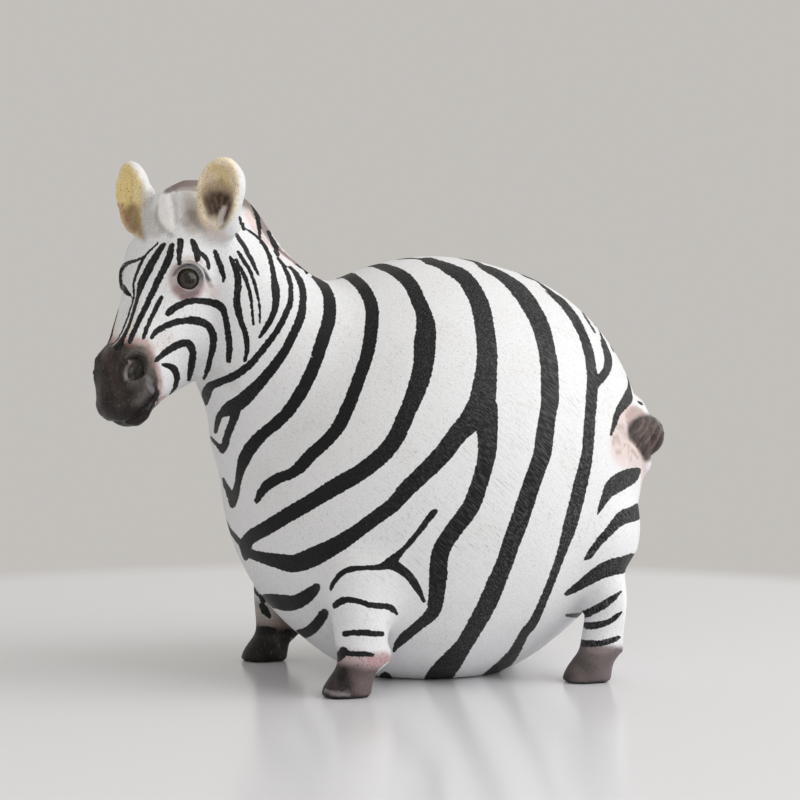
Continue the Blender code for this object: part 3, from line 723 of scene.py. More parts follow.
RELIEF = (
    (nostrils, 1.1, -2.8),
    (mouths, 0.7, -0.8),
    (both_heads([(139, 425, 3), (149, 416, 4), (157, 405, 4)]), 1.8, 0.4),
    (both_heads([(124, 412, 5), (134, 406, 6), (143, 398, 5)]), 1.8, 0.4),
    (both_heads([(146, 383, 2), (153, 386, 3), (160, 386, 3)]), 1.2, -0.7),
    (both_heads([(126, 359, 3), (132, 351.5, 3.4), (141, 351.5, 3.4), (147.5, 359, 3)]), 1.6, 0.5),
    (both_heads([(127, 378, 3), (134, 383, 4), (143, 381, 4)]), 2.0, 0.4),
    ([stroke_of([(128, 298, 4), (124, 310, 6), (120, 322, 6), (114, 334, 4)])], 4.5, -1.7),
    ([stroke_of([(164, 204, 8), (166, 212, 12), (167, 221, 10)])], 2.8, 0.8),
    ([stroke_of([(178, 198, 6), (181, 208, 8), (182, 220, 7)])], 1.8, 0.6),
    ([stroke_of([(199, 203, 4), (201, 214, 6), (204, 226, 6)])], 1.8, 0.6),
    ([stroke_of([(148, 205, 8), (149, 217, 11), (153, 228, 9)])], 1.8, 0.6),
    ([stroke_of([(173, 196, 2), (174, 208, 3), (175, 222, 2)])], 1.0, -0.7),
    ([stroke_of([(144, 186, 3), (147, 194, 6), (148, 202, 8)])], 2.4, 1.8),
)
for lines, soft, height in RELIEF:
    carved(lines, soft, height)
EAR_FURROWS = ((202, 204, 208), (208, 210, 212), (215, 216, 216), (223, 222, 220), (230, 228, 224))
for x_top, x_middle, x_low in EAR_FURROWS:
    carved(both_heads([(x_top, 168, 1.2), (x_middle, 188, 1.6), (x_low, 214, 1.4)]), 0.7, -0.35)

# The lids are a swollen rim all round, fuller above, with a crease over it, round a hollow for the eye.
LID_RADIUS, LID_HALF = 4.75 * MM, 0.7 * MM
CREASE_RADIUS, CREASE_HALF = 6.7 * MM, 0.6 * MM
SOCKET_DEPTH = 2.6
for side in (1, -1):
    out = np.array(eye_facing(side))
    eye = np.array(eye_middle(side))
    from_eye = flat - eye
    height = from_eye @ out
    ring = from_eye - height[:, None] * out
    radius = np.linalg.norm(ring, axis=1)
    upper = np.clip(ring @ np.array(-DOWN) / np.maximum(radius, 1e-6) * 0.5 + 0.5, 0, 1)
    close = (height > -2.5 * MM) & (radius < 10 * MM) & (flat_normals @ out > -0.2)
    lid = np.exp(-((radius - LID_RADIUS) / LID_HALF) ** 2) * (0.3 + 0.75 * upper)
    crease = np.exp(-((radius - CREASE_RADIUS) / CREASE_HALF) ** 2) * 0.5 * upper
    socket = np.clip((SOCKET - radius) / (0.5 * MM), 0, 1) * SOCKET_DEPTH
    relief += np.where(close, (lid - crease - socket) * MM, 0)

# Hair was combed with a fine tool: strands round the tail's tuft and locks along the mane.
TAIL_STRANDS = [
    [(641, 417, 1.2), (636, 423, 1.4), (631, 432, 1.2)],
    [(648, 416, 1.2), (641, 425, 1.4), (634, 439, 1.2)],
    [(655, 418, 1.2), (647, 430, 1.4), (638, 447, 1.2)],
    [(661, 424, 1.2), (653, 437, 1.4), (643, 454, 1.2)],
    [(664, 432, 1.2), (658, 444, 1.4), (650, 457, 1.2)],
    [(614, 437, 1.2), (625, 437, 1.4), (634, 443, 1.4), (641, 452, 1.2)],
    [(613, 444, 1.2), (623, 444, 1.4), (632, 450, 1.4), (639, 459, 1.2)],
    [(616, 452, 1.2), (624, 453, 1.4), (631, 459, 1.4)],
]
strands = [stroke_of(rows) for rows in TAIL_STRANDS]
TUFT_MIDDLE = Vector((96.3, -19.0, 82.5)) * MM
TUFT_HALF = np.array((7.2, 6.6, 7.4)) * MM
STRAND_HALF = 0.35 * MM
rear_strands = []
for aside in (-5.5, -3.3, -1.1, 1.1, 3.3, 5.5):
    rows = []
    for fall in np.linspace(-1, 1, 16):
        off = Vector((9, aside * (1.1 - 0.35 * fall), -8.5 * fall)) * MM
        spot, outward, _, _ = skin.find_nearest(TUFT_MIDDLE + off)
        rows.append((*spot, *outward, STRAND_HALF, np.nan, np.nan, np.nan))
    rear_strands.append(np.array(rows))
carved(strands + rear_strands, 0.7, -0.35)
for row in range(5):
    carved(both_flanks([(252 + row * 11, 212 + row * 11, 1.2), (258 + row * 11, 224 + row * 10, 1.4),
                        (263 + row * 11, 238 + row * 9, 1.2)]), 0.6, -0.35)

# The belly settles on the ground between the feet, and the hocks are pared down to the cannon bone.
FORE_X, REAR_X, TRACK_Y = -0.0262, 0.0618, 0.0435
FOOT_HALF = (0.021, 0.0135)
FOOT_TOP, SOLE = 0.026, 0.002
SETTLING = 1.8 * MM
HOCK_X, HOCK_SHARE = 72.5 * MM, 0.6
hooves = ((FORE_X, -TRACK_Y), (FORE_X, TRACK_Y), (REAR_X, -TRACK_Y), (REAR_X, TRACK_Y))
across = np.abs(flat[:, 1])
feet = [(np.abs(flat[:, 1] - y) < FOOT_HALF[1]) & (np.abs(flat[:, 0] - x) < FOOT_HALF[0])
        & (flat[:, 2] < FOOT_TOP) & ((flat_normals[:, 2] > -0.55) | (flat[:, 2] < SOLE)) for x, y in hooves]
on_foot = np.any(feet, axis=0)
places = flat + relief[:, None] * flat_normals
settled = np.clip(1 - flat[:, 2] / (13 * MM), 0, 1) * (flat_normals[:, 2] < 0) * ~on_foot * (across < 0.042)
places[:, 2] -= SETTLING * eased(cast, settled, 6) * ~on_foot
places[:, 2] = np.maximum(places[:, 2], 0)
height = flat[:, 2] / MM
pared = np.clip((height - 6) / 5, 0, 1) * np.clip((44 - height) / 20, 0, 1) * (across > 0.028)
places[:, 0] -= HOCK_SHARE * pared * np.maximum(places[:, 0] - HOCK_X, 0)
set_places(cast, places)

# Colours. The figure is white under its stripes. The pinks, greys, browns and ochres were misted on
# with an airbrush, in strokes with soft edges, some with dots in them.


def paint(red, green, blue):
    """A paint's colour in linear light, from how it looks in even light, 0 to 255."""
    return tuple((np.array((red, green, blue)) / 255) ** 2.2)


WHITE = paint(231, 232, 234)
coat = np.tile(np.array(WHITE), (len(flat), 1))
speck = np.full(len(flat), 0.15)


def mist(amount, colour, dots=0.0):
    """Mists a colour over the vertices, as strongly as amount says, with a share of dots in it."""
    amount = np.clip(amount, 0, 1)
    coat[:] = coat + (np.array(colour) - coat) * amount[:, None]
    speck[:] = speck + (dots - speck) * amount


def stroked(strokes, soft, strength, colour, dots=0.0):
    """Mists a colour on in strokes, with edges that fade over so many pixels."""
    for stroke in strokes:
        mist(washed(stroke, soft * PIXEL) * strength, colour, dots)


# Tints between the ears, on the crown and over the eyes, and among them painted light: a painted highlight
# on the forelock's raised lock, and painted shade along its edge and in the groove beside it. A row has the
# stroke, its softness in pixels, how strongly it covers, its colour and its share of dots.
CROWN_TINTS_SHADE_AND_HIGHLIGHT = (
    ([(190, 190, 8), (193, 203, 14), (194, 216, 12), (192, 228, 6)], 8, 0.5, (160, 143, 128), 0.4),
    ([(186, 222, 6), (190, 216, 8)], 5, 0.4, (128, 116, 104), 0.4),
    # A painted highlight: the forelock's raised lock misted whiter than the white paint.
    ([(164, 198, 7), (166, 212, 9), (169, 226, 8)], 6, 0.7, (252, 250, 246), 0.1),
    ([(193, 214, 4), (199, 222, 6), (204, 228, 3)], 6, 0.45, (122, 106, 92), 0.3),
    ([(148, 197, 8), (149, 212, 15), (151, 226, 13), (160, 232, 5)], 6, 0.36, (160, 153, 142), 0.9),
    ([(207, 222, 4), (211, 232, 6), (222, 238, 6)], 5, 0.3, (214, 182, 172), 0.4),
    # Painted shade: grey along the edge of the forelock's lock, and in the groove carved between the locks.
    ([(158, 208, 1.5), (158, 218, 1.5), (163, 228, 2), (172, 236, 2)], 3, 0.4, (120, 112, 104), 0.6),
    ([(171, 196, 2), (176, 206, 2), (177, 222, 2)], 3, 0.25, (140, 132, 122), 0.5),
)
for rows, soft, strength, colour, dots in CROWN_TINTS_SHADE_AND_HIGHLIGHT:
    stroked([stroke_of(rows)], soft, strength, paint(*colour), dots)

# Round the eyes, the lids are pinkish brown, with a dark line at their edge and a light one over it;
# that light line is a painted highlight on the fold of the upper lid.
LID_STRENGTH, LID_DOTS = 0.85, 0.3
LID_SHADES = (
    ([(176, 268, 3), (174, 279, 5), (178, 289, 6)], 6, 0.6, (176, 142, 138)),
    ([(178, 290, 4), (186, 295, 7), (196, 293, 6), (202, 287, 3)], 6, 0.75, (150, 108, 104)),
    ([(183, 297, 3), (190, 296, 3), (196, 293, 2)], 4, 0.6, (88, 58, 56)),
    ([(180, 264, 2), (187, 260, 3), (199, 261, 2)], 5, 0.5, (196, 172, 168)),
    ([(205, 286, 5), (214, 292, 5)], 6, 0.5, (214, 194, 190)),
    ([(204, 270, 2), (207, 278, 2.4), (211, 286, 1.6)], 2.4, 0.6, (104, 88, 84)),
    ([(174, 275, 1.0), (178, 268, 1.8), (188, 263, 2.2), (198, 265, 2), (204, 271, 1.8), (209, 280, 1.2)],
        1.8, 0.95, (46, 34, 31)),
)
for rows, soft, strength, colour in LID_SHADES:
    stroked(both_heads(rows), soft, strength * LID_STRENGTH, paint(*colour), LID_DOTS)
EYE_RINGS_AND_HIGHLIGHT = (
    (4.35, 0.45, 0.45, 0.5, (40, 28, 25)),
    # A painted highlight: a near white line round the upper lid, where its fold catches the light.
    (5.35, 0.3, 0.0, 0.5, (236, 230, 226)),
    (6.1, 0.35, 0.0, 0.35, (96, 78, 74)),
)
for side in (1, -1):
    eye = np.array(eye_middle(side))
    out = np.array(eye_facing(side))
    height = (flat - eye) @ out
    ring = flat - eye - height[:, None] * out
    radius = np.linalg.norm(ring, axis=1) / MM
    upper = np.clip(ring @ np.array(-DOWN) / np.maximum(radius * MM, 1e-6) + 0.35, 0, 1)
    close = (np.abs(height) < 4 * MM) & (flat_normals @ out > 0)
    for ring_radius, half, all_round, over, colour in EYE_RINGS_AND_HIGHLIGHT:
        line = np.exp(-((radius - ring_radius) / half) ** 2) * (all_round + over * upper)
        mist(close * line, paint(*colour))
CHEEK_SHADES = (
    ([(163, 336, 12), (171, 345, 8), (160, 345, 8)], 6, 0.3, (206, 190, 182), 1.0),
    ([(205, 385, 6), (190, 392, 6), (215, 375, 8), (235, 385, 6)], 6, 0.2, (180, 172, 165), 0.6),
    ([(131, 330, 3), (136, 322, 1)], 4, 0.4, (222, 196, 150), 0.2),
)
for rows, soft, strength, colour, dots in CHEEK_SHADES:
    stroked(both_heads(rows), soft, strength, paint(*colour), dots)

# The muzzle is near black with a red cast, and pink where it ends, with painted shade in the nostrils
# and painted highlights on their rims and near the corner of the mouth.
MUZZLE_EDGE = [(109.8, 344.8, 1), (117.8, 341.8, 1), (126.8, 340.8, 1), (135.8, 342.8, 1),
               (145.8, 345.8, 1), (151.8, 354.8, 1), (154.8, 363.8, 1), (157.8, 373.8, 1),
               (159.8, 383.8, 1), (160.5, 393.8, 1), (159.8, 402.8, 1), (153.8, 412.8, 1)]
MUZZLE_MIDDLE = (50, -6, 0)
MUZZLE_REACH = 28
edge = head_place(stroke_of(MUZZLE_EDGE)[:, :3])
order = np.argsort(edge[:, 1])
past_edge = head[:, 0] - np.interp(head[:, 1], edge[order, 1], edge[order, 0])
on_face = np.linalg.norm(head - MUZZLE_MIDDLE, axis=1) < MUZZLE_REACH
mist(np.exp(-((past_edge + 0.8) / 1.6) ** 2) * 0.8 * on_face, paint(178, 134, 130), 0.6)
mist(np.clip((past_edge + 0.7) / 1.8, 0, 1) * on_face, paint(46, 33, 32), 0.0)
mist(np.clip((past_edge - 1.5) / 6, 0, 1) * on_face * 0.85, paint(30, 22, 21), 0.0)
MUZZLE_TINTS_SHADE_AND_HIGHLIGHTS = (
    (both_heads([(146, 350, 3), (151, 357, 3), (154, 366, 2)]), 3, 0.6, (120, 90, 86), 0.6),
    (both_heads([(127, 343, 2), (134, 346, 2)]), 3, 0.5, (126, 84, 78), 0.2),
    ([stroke_of([(103, 352, 4), (112, 366, 6), (116, 382, 5), (119, 395, 4)])], 5, 0.4, (74, 56, 54), 0.0),
    # Painted shade: the nostril pits misted near black.
    (nostrils, 1.4, 0.95, (9, 7, 7), 0.0),
    # Painted highlights: a lit grey rim inside each nostril, and a bluish white sheen near the corner of the
    # mouth.
    (both_heads([(125.5, 377, 2.4), (126, 370, 2.4), (129, 364, 2.4)]), 2.0, 0.6, (134, 126, 124), 0.3),
    (both_heads([(130.5, 375, 1.6), (132.5, 369, 1.6)]), 1.2, 0.5, (110, 102, 100), 0.2),
    (both_heads([(148, 379, 2.5), (151, 385, 4), (153, 391, 2)]), 3, 0.55, (132, 128, 134), 0.2),
    (both_heads([(138, 402, 3), (146, 394, 3), (151, 388, 2)]), 4, 0.25, (100, 92, 92), 0.2),
    (mouths, 1.6, 0.85, (18, 14, 13), 0.0),
)
for lines, soft, strength, colour, dots in MUZZLE_TINTS_SHADE_AND_HIGHLIGHTS:
    stroked(lines, soft, strength, paint(*colour), dots)

# The ears are ochre at the front, brown in their depths, and white behind.
NEAR_EAR = [(197, 205), (196, 192), (199, 177), (206, 163), (216, 156), (228, 156), (236, 165), (239, 180),
            (239, 195), (236, 210), (230, 222), (220, 230), (208, 228), (200, 218)]
NEAR_EAR_DEPTH = [(204, 197), (210, 192), (219, 190), (228, 193), (233, 201), (231, 213), (226, 224),
                  (221, 229), (218, 222), (213, 215), (211, 221), (206, 211)]
FAR_EAR = [(114, 192), (117, 175), (123, 163), (130, 164), (136, 173), (140, 186), (140, 200), (141, 214),
           (142, 228), (143, 238), (135, 235), (126, 228), (118, 212)]
FAR_EAR_DEPTH = [(123, 210), (131, 203), (138, 206), (141, 219), (144, 233), (145, 241), (136, 234),
                 (128, 226)]
near_ear, far_ear = masked(NEAR_EAR, 4), masked(FAR_EAR, 4)
near_depth, far_depth = masked(NEAR_EAR_DEPTH, 6), masked(FAR_EAR_DEPTH, 6)
EAR_REACH = 13.5 * MM
for ear in (near_ear, far_ear):
    seen_part = ear > 0.5
    middle, hollow = flat[seen_part].mean(0), flat_normals[seen_part].mean(0)
    close = np.clip((EAR_REACH - np.linalg.norm(flat - middle, axis=1)) / (2 * MM), 0, 1)
    open_way = np.clip((flat_normals @ (hollow / np.linalg.norm(hollow)) - 0.1) / 0.3, 0, 1)
    ear[:] = np.maximum(ear, eased(cast, (1 - plainly) * close * open_way, 2))
ears = np.maximum(near_ear, far_ear)
mist(near_ear, paint(252, 235, 205), 0.3)
mist(far_ear, paint(252, 230, 166), 0.3)
EAR_SHADES = (
    ([(207, 172, 4), (204, 188, 5), (203, 204, 4)], 4, 0.5, (222, 200, 172), 0.3),
    ([(215, 168, 6), (222, 172, 8), (224, 182, 6)], 5, 0.45, (216, 190, 104), 0.3),
    ([(118, 205, 4), (123, 218, 5), (130, 229, 5)], 4, 0.6, (214, 166, 134), 0.4),
    ([(136, 172, 2), (140, 188, 3), (140, 205, 2)], 3, 0.5, (226, 200, 140), 0.2),
    ([(207, 194, 8), (217, 188, 9), (228, 193, 8)], 8, 0.45, (122, 92, 66), 0.3),
)
for rows, soft, strength, colour, dots in EAR_SHADES:
    stroked([stroke_of(rows)], soft, strength, paint(*colour), dots)
mist(near_depth * 0.95, paint(38, 23, 18), 0.0)
mist(far_depth * 0.75, paint(120, 88, 70), 0.3)
EAR_LIGHTS = (
    ([(224, 208, 3), (221, 215, 4), (220, 222, 5)], 2.5, 0.85, (222, 212, 204), 0.0),
    ([(210, 222, 3), (214, 230, 4), (221, 234, 4)], 4, 0.7, (226, 212, 204), 0.2),
)
for rows, soft, strength, colour, dots in EAR_LIGHTS:
    stroked([stroke_of(rows)], soft, strength, paint(*colour), dots)
EAR_LINES = [[(206, 203), (209, 213)], [(210, 198), (213, 210)], [(215, 196), (217, 207)],
             [(222, 196), (221, 205)], [(228, 200), (226, 210)], [(231, 208), (227, 219)],
             [(209, 190), (211, 197)], [(217, 187), (217, 194)], [(226, 188), (224, 195)],
             [(203, 196), (205, 204)]]
for (x0, y0), (x1, y1) in EAR_LINES:
    stroked([stroke_of([(x0, y0, 0.8), (x1, y1, 0.8)])], 1.4, 0.55, paint(150, 120, 104))

# The mane is pinkish at its sides, with a mauve brown crest.
MANE_SIDE = [(252, 216, 10), (264, 238, 9), (282, 252, 7), (296, 262, 5)]
CREST = [(244, 202, 4), (252, 207, 6), (261, 220, 8), (268, 233, 8), (276, 245, 8), (286, 255, 6),
         (298, 264, 4)]
FORELOCK = [(170, 190, 5), (178, 185, 9), (188, 182, 11), (198, 181, 10)]
CREST_ABOVE, CREST_HALF, CREST_FROM, CREST_TO = 0.1605, 0.007, -0.074, -0.035
stroked(both_flanks(MANE_SIDE), 4, 0.6, paint(226, 196, 190), 0.4)
stroked(both_flanks(CREST), 4, 0.8, paint(104, 76, 72), 0.1)
stroked([stroke_of(FORELOCK)], 5, 0.85, paint(100, 78, 74), 0.2)
between_ears = np.clip((flat[:, 2] - CREST_ABOVE) / 0.003, 0, 1) * (np.abs(flat[:, 1]) < CREST_HALF)
between_ears = between_ears * (flat[:, 0] > CREST_FROM) * (flat[:, 0] < CREST_TO)
mist(between_ears * 0.6, paint(116, 92, 88), 0.0)

# The hooves are mauve brown with a black rim on the ground, under pink, dotted fetlocks.
for (hoof_x, _), foot in zip(hooves, feet):
    along = (flat[:, 0] - hoof_x) / MM
    high = flat[:, 2] / MM + along * 0.12
    if hoof_x < 0:
        mist(foot * np.clip((17.0 - high) / 3, 0, 1) * 0.75, paint(170, 138, 136), 1.0)
        mist(foot * np.clip((12.5 - high) / 3, 0, 1) * 0.85, paint(72, 58, 59), 1.0)
        toe = np.clip((11.5 - high) / 2, 0, 1) * np.clip((-along + 3) / 6, 0, 1)
        mist(foot * toe * 0.9, paint(38, 30, 30), 0.2)
    else:
        mist(foot * np.clip((14.0 - high) / 1.6, 0, 1) * 0.95, paint(96, 82, 83), 0.3)
        mist(foot * np.exp(-((along + 3) / 4) ** 2 - ((high - 6) / 4) ** 2) * 0.75, paint(40, 31, 31), 0.0)
        mist(foot * np.clip((-along - 5) / 3, 0, 1) * (high < 12) * 0.6, paint(40, 31, 31), 0.0)
    mist(foot * np.clip((0.9 - flat[:, 2] / MM) / 0.5, 0, 1), paint(20, 17, 17), 0.0)
# Painted shade: the far fore leg, standing under the chest, gets greyer and darker copies of these paints on
# its fetlock, heel and hoof.
FAR_LEG_HALF = (0.0175, 0.0125)
from_leg = np.hypot((flat[:, 0] - FORE_X) / FAR_LEG_HALF[0], (flat[:, 1] - TRACK_Y) / FAR_LEG_HALF[1])
far_leg = np.clip((1.2 - from_leg) / 0.15, 0, 1)
far_leg = far_leg * ((flat_normals[:, 2] > -0.45) | (flat[:, 2] < SOLE)) * (flat[:, 2] < 0.03)
along = (flat[:, 0] - FORE_X) / MM
mist(far_leg * np.clip((27 - flat[:, 2] / MM) / 6, 0, 1) * 0.75, paint(142, 132, 122), 0.7)
heel_shade = np.clip((22 - flat[:, 2] / MM) / 4, 0, 1) * np.clip(along / 4, 0, 1)
mist(far_leg * heel_shade * 0.7, paint(110, 88, 80), 0.5)
mist(far_leg * np.clip((14.0 - flat[:, 2] / MM - along * 0.12) / 2.5, 0, 1), paint(30, 26, 24), 0.0)
FOOT_SHADES = (
    ([(343, 674, 6), (346, 684, 7)], 7, 0.9, (24, 18, 18), 0.0),
    ([(325, 690, 1.6), (333, 693.5, 2), (348, 694.5, 2)], 1.6, 0.55, (172, 166, 168), 1.0),
    ([(356, 672, 8), (364, 684, 10)], 8, 0.35, (100, 88, 90), 1.0),
    ([(372, 660, 6), (384, 659, 8)], 5, 0.6, (184, 140, 144), 0.8),
    ([(589, 648, 3), (600, 650, 5), (612, 648, 4)], 4, 0.5, (150, 136, 134), 0.6),
)
for rows, soft, strength, colour, dots in FOOT_SHADES:
    stroked([stroke_of(rows)], soft, strength, paint(*colour), dots)

# The tail has a brown tuft on a pink dock, with cream strands.
TAIL_DOCK = [(626, 402), (640, 410), (650, 418), (660, 430), (658, 448), (646, 464), (632, 470), (618, 464),
             (611, 450), (611, 434), (616, 418)]
TAIL_TUFT = [(627, 429), (632, 421), (641, 415), (652, 415), (661, 424), (666, 438), (662, 450), (655, 457),
             (645, 462), (641, 455), (636, 446), (629, 438)]
mist(masked(TAIL_DOCK, 4) * 0.7, paint(216, 192, 188), 0.2)
DOCK_SHADES = (
    ([(628, 418, 6), (634, 412, 6), (641, 411, 4)], 4, 0.6, (158, 128, 122), 0.2),
    ([(618, 427, 2), (630, 433, 3), (639, 441, 3)], 3, 0.5, (150, 128, 120), 0.2),
)
for rows, soft, strength, colour, dots in DOCK_SHADES:
    stroked([stroke_of(rows)], soft, strength, paint(*colour), dots)
tuft = masked(TAIL_TUFT, 4)
mist(tuft * 0.96, paint(50, 37, 32), 0.0)
TUFT_TOP = [(630, 428, 4), (636, 424, 5), (644, 424, 3)]
stroked([stroke_of(TUFT_TOP)], 3, 0.6, paint(50, 36, 32), 0.0)
stroked(strands[:5], 1.0, 0.7, paint(36, 26, 23))
stroked(strands[5:], 1.0, 0.5, paint(150, 130, 122))
TUFT_LINES = ([(645, 419), (635, 433)], [(651, 420), (640, 437)], [(657, 423), (645, 443)],
              [(661, 430), (649, 450)], [(663, 440), (656, 452)])
for (x0, y0), (x1, y1) in TUFT_LINES:
    bowed = [(x0, y0, 0.8), ((x0 + x1) / 2 + 1.5, (y0 + y1) / 2 + 1, 1.0), (x1, y1, 0.8)]
    stroked([stroke_of(bowed)], 1.2, 0.42, paint(140, 112, 102))
CREAM_LINES = ([(619, 440, 1.6), (629, 443, 1.8), (637, 450, 1.6)], [(619, 448, 1.4), (627, 452, 1.6)])
stroked([stroke_of(rows) for rows in CREAM_LINES], 1.2, 0.7, paint(226, 212, 202), 0.0)
UNDER_TUFT = [(643, 470, 6), (645.5, 485, 8), (645, 498, 5)]
stroked([stroke_of(UNDER_TUFT)], 5, 0.6, paint(219, 190, 190), 0.2)

# Behind, the tuft is brown all round, and its root pink.
behind = eased(cast, 1 - plainly, 2)
past_tuft = np.linalg.norm((flat - np.array(TUFT_MIDDLE)) / TUFT_HALF, axis=1)
CURL_MIDDLE, CURL_HALF = np.array((88.5, -26.5, 81)) * MM, np.array((7, 7, 8.5)) * MM
ROOT_MIDDLE, ROOT_HALF = np.array((91, -6, 92)) * MM, np.array((12, 17, 9)) * MM
past_curl = np.linalg.norm((flat - CURL_MIDDLE) / CURL_HALF, axis=1)
past_tuft = np.minimum(past_tuft, past_curl)
root = np.linalg.norm((flat - ROOT_MIDDLE) / ROOT_HALF, axis=1)
mist(behind * np.clip((1.0 - root) / 0.5, 0, 1) * 0.6, paint(216, 192, 188), 0.2)
mist(behind * np.clip((1.2 - past_tuft) / 0.2, 0, 1) * 0.96, paint(50, 37, 32), 0.0)
stroked(rear_strands, 1.2, 0.7, paint(36, 26, 23))

# What the brush left differs over the figure: the hairs drawn in the stripes, the way they lie on the body,
# the head and the legs, and how wet the paint looks. The material reads all of it from the vertices.
# Most hairs show in the stripes of the rump, fewer towards the chest and on the face.
hatch = np.clip((flat[:, 0] + 0.03) / 0.08, 0, 1) * 0.85 + 0.1
hatch = np.where((head[:, 0] > -20) & (flat[:, 0] < -0.05), 0.3, hatch)
on_head_share = np.clip((head[:, 0] + 30) / 20, 0, 1) * np.clip((-0.046 - flat[:, 0]) / 0.012, 0, 1)
low = np.clip((0.040 - flat[:, 2]) / 0.012, 0, 1)
on_leg_share = low * np.clip((np.abs(flat[:, 1]) - 0.030) / 0.008, 0, 1)
WET_MUZZLE = [(100, 345), (130, 340), (160, 370), (160, 400), (140, 425), (100, 425)]
wet = np.clip(masked(WET_MUZZLE, 8) + tuft * 0.4, 0, 1)

for name, values in (("stripe", stripe / MM), ("speck", speck), ("hatch", hatch),
                     ("head_share", on_head_share), ("leg_share", on_leg_share),
                     ("ear_share", ears * (1 - near_depth)), ("wet", wet)):
    layer = cast.data.attributes.new(name, "FLOAT", "POINT")
    layer.data.foreach_set("value", values.astype(np.float32))
layer = cast.data.attributes.new("coat", "FLOAT_COLOR", "POINT")
layer.data.foreach_set("color", np.column_stack((coat, np.ones(len(coat)))).astype(np.float32).ravel())

# The paint. A dull resin varnish lies over acrylic paint that a stiff brush laid on in short hairs.
# One effect draws the hairs on the body, the head and the legs, each in its own direction.
hairs = bpy.data.node_groups.new("brushed_hairs", "ShaderNodeTree")
hairs.interface.new_socket("Place", in_out="INPUT", socket_type="NodeSocketVector")
hairs.interface.new_socket("Hairs", in_out="OUTPUT", socket_type="NodeSocketFloat")
inlet = hairs.nodes.new("NodeGroupInput")
outlet = hairs.nodes.new("NodeGroupOutput")
hair_noise = hairs.nodes.new("ShaderNodeTexNoise")
hair_noise.inputs["Scale"].default_value = 1.0
hair_noise.inputs["Detail"].default_value = 2.0
hair_noise.inputs["Roughness"].default_value = 0.6
hair_noise.inputs["Distortion"].default_value = 0.25
hairs.links.new(inlet.outputs["Place"], hair_noise.inputs["Vector"])
hairs.links.new(hair_noise.outputs["Fac"], outlet.inputs["Hairs"])

material = bpy.data.materials.new("painted_coat")
material.use_nodes = True
nodes, links = material.node_tree.nodes, material.node_tree.links
shader = nodes["Principled BSDF"]


def node(kind, **values):
    """A node of the material at hand, with values on its input sockets by name."""
    made = nodes.new(kind)
    for name, value in values.items():
        made.inputs[name.replace("_", " ")].default_value = value
    return made


def attribute(name):
    """A number that each vertex carries."""
    made = nodes.new("ShaderNodeAttribute")
    made.attribute_name = name
    return made.outputs["Fac"]


def spread(value, low, high, out_low=0.0, out_high=1.0):
    """A value eased from one range to another."""
    made = nodes.new("ShaderNodeMapRange")
    made.interpolation_type = "SMOOTHSTEP"
    made.inputs["From Min"].default_value = low
    made.inputs["From Max"].default_value = high
    made.inputs["To Min"].default_value = out_low
    made.inputs["To Max"].default_value = out_high
    links.new(value, made.inputs["Value"])
    return made.outputs["Result"]


def figure(operation, one, two):
    """A sum of two numbers, each a socket or a fixed one."""
    made = nodes.new("ShaderNodeMath")
    made.operation = operation
    for socket, value in zip(made.inputs, (one, two)):
        if isinstance(value, float):
            socket.default_value = value
        else:
            links.new(value, socket)
    return made.outputs["Value"]


def blended(share, one, two):
    """A colour between two, each a socket or a fixed colour."""
    made = nodes.new("ShaderNodeMix")
    made.data_type = "RGBA"
    links.new(share, made.inputs["Factor"])
    for name, value in (("A", one), ("B", two)):
        if isinstance(value, tuple):
            made.inputs[name].default_value = (*value, 1)
        else:
            links.new(value, made.inputs[name])
    return made.outputs["Result"]


def hair_field(axes, length, breadth):
    """The brushed hairs along the first of three axes, hairs of this length and breadth."""
    turned = nodes.new("ShaderNodeMapping")
    turned.vector_type = "TEXTURE"
    turned.inputs["Rotation"].default_value = Matrix(axes).transposed().to_euler()
    turned.inputs["Scale"].default_value = (length, breadth, breadth)
    links.new(object_place, turned.inputs["Vector"])
    group = nodes.new("ShaderNodeGroup")
    group.node_tree = hairs
    links.new(turned.outputs["Vector"], group.inputs["Place"])
    return group.outputs["Hairs"]


def between(share, one, two):
    """A number between two others."""
    made = nodes.new("ShaderNodeMix")
    made.data_type = "FLOAT"
    links.new(share, made.inputs["Factor"])
    links.new(one, made.inputs["A"])
    links.new(two, made.inputs["B"])
    return made.outputs["Result"]


object_place = nodes.new("ShaderNodeTexCoord").outputs["Object"]
lie = Vector((0.74, 0, -0.67)).normalized()
body_axes = (lie, SIDEWAYS, lie.cross(SIDEWAYS))
leg_axes = (Vector((0.2, 0, -0.98)).normalized(), SIDEWAYS, Vector((0.98, 0, 0.2)).normalized())
field = between(attribute("head_share"), hair_field(body_axes, 4.5 * MM, 0.36 * MM),
                hair_field((DOWN, BROW, LEFT), 3.5 * MM, 0.36 * MM))
field = between(attribute("leg_share"), field, hair_field(leg_axes, 3.5 * MM, 0.4 * MM))
coarse = hair_field(body_axes, 9 * MM, 1.1 * MM)
grain = node("ShaderNodeTexNoise", Scale=1500.0, Detail=2.0, Roughness=0.6)
links.new(object_place, grain.inputs["Vector"])
cloud = node("ShaderNodeTexNoise", Scale=60.0, Detail=3.0, Roughness=0.55)
links.new(object_place, cloud.inputs["Vector"])

# The stripes' edges are ragged where single hairs of the brush ran over them.
ragged = figure("MULTIPLY", figure("SUBTRACT", coarse, 0.5), 0.9)
ragged = figure("ADD", ragged, figure("MULTIPLY", figure("SUBTRACT", grain.outputs["Fac"], 0.5), 0.5))
striped = spread(figure("ADD", attribute("stripe"), ragged), -0.09, 0.09)

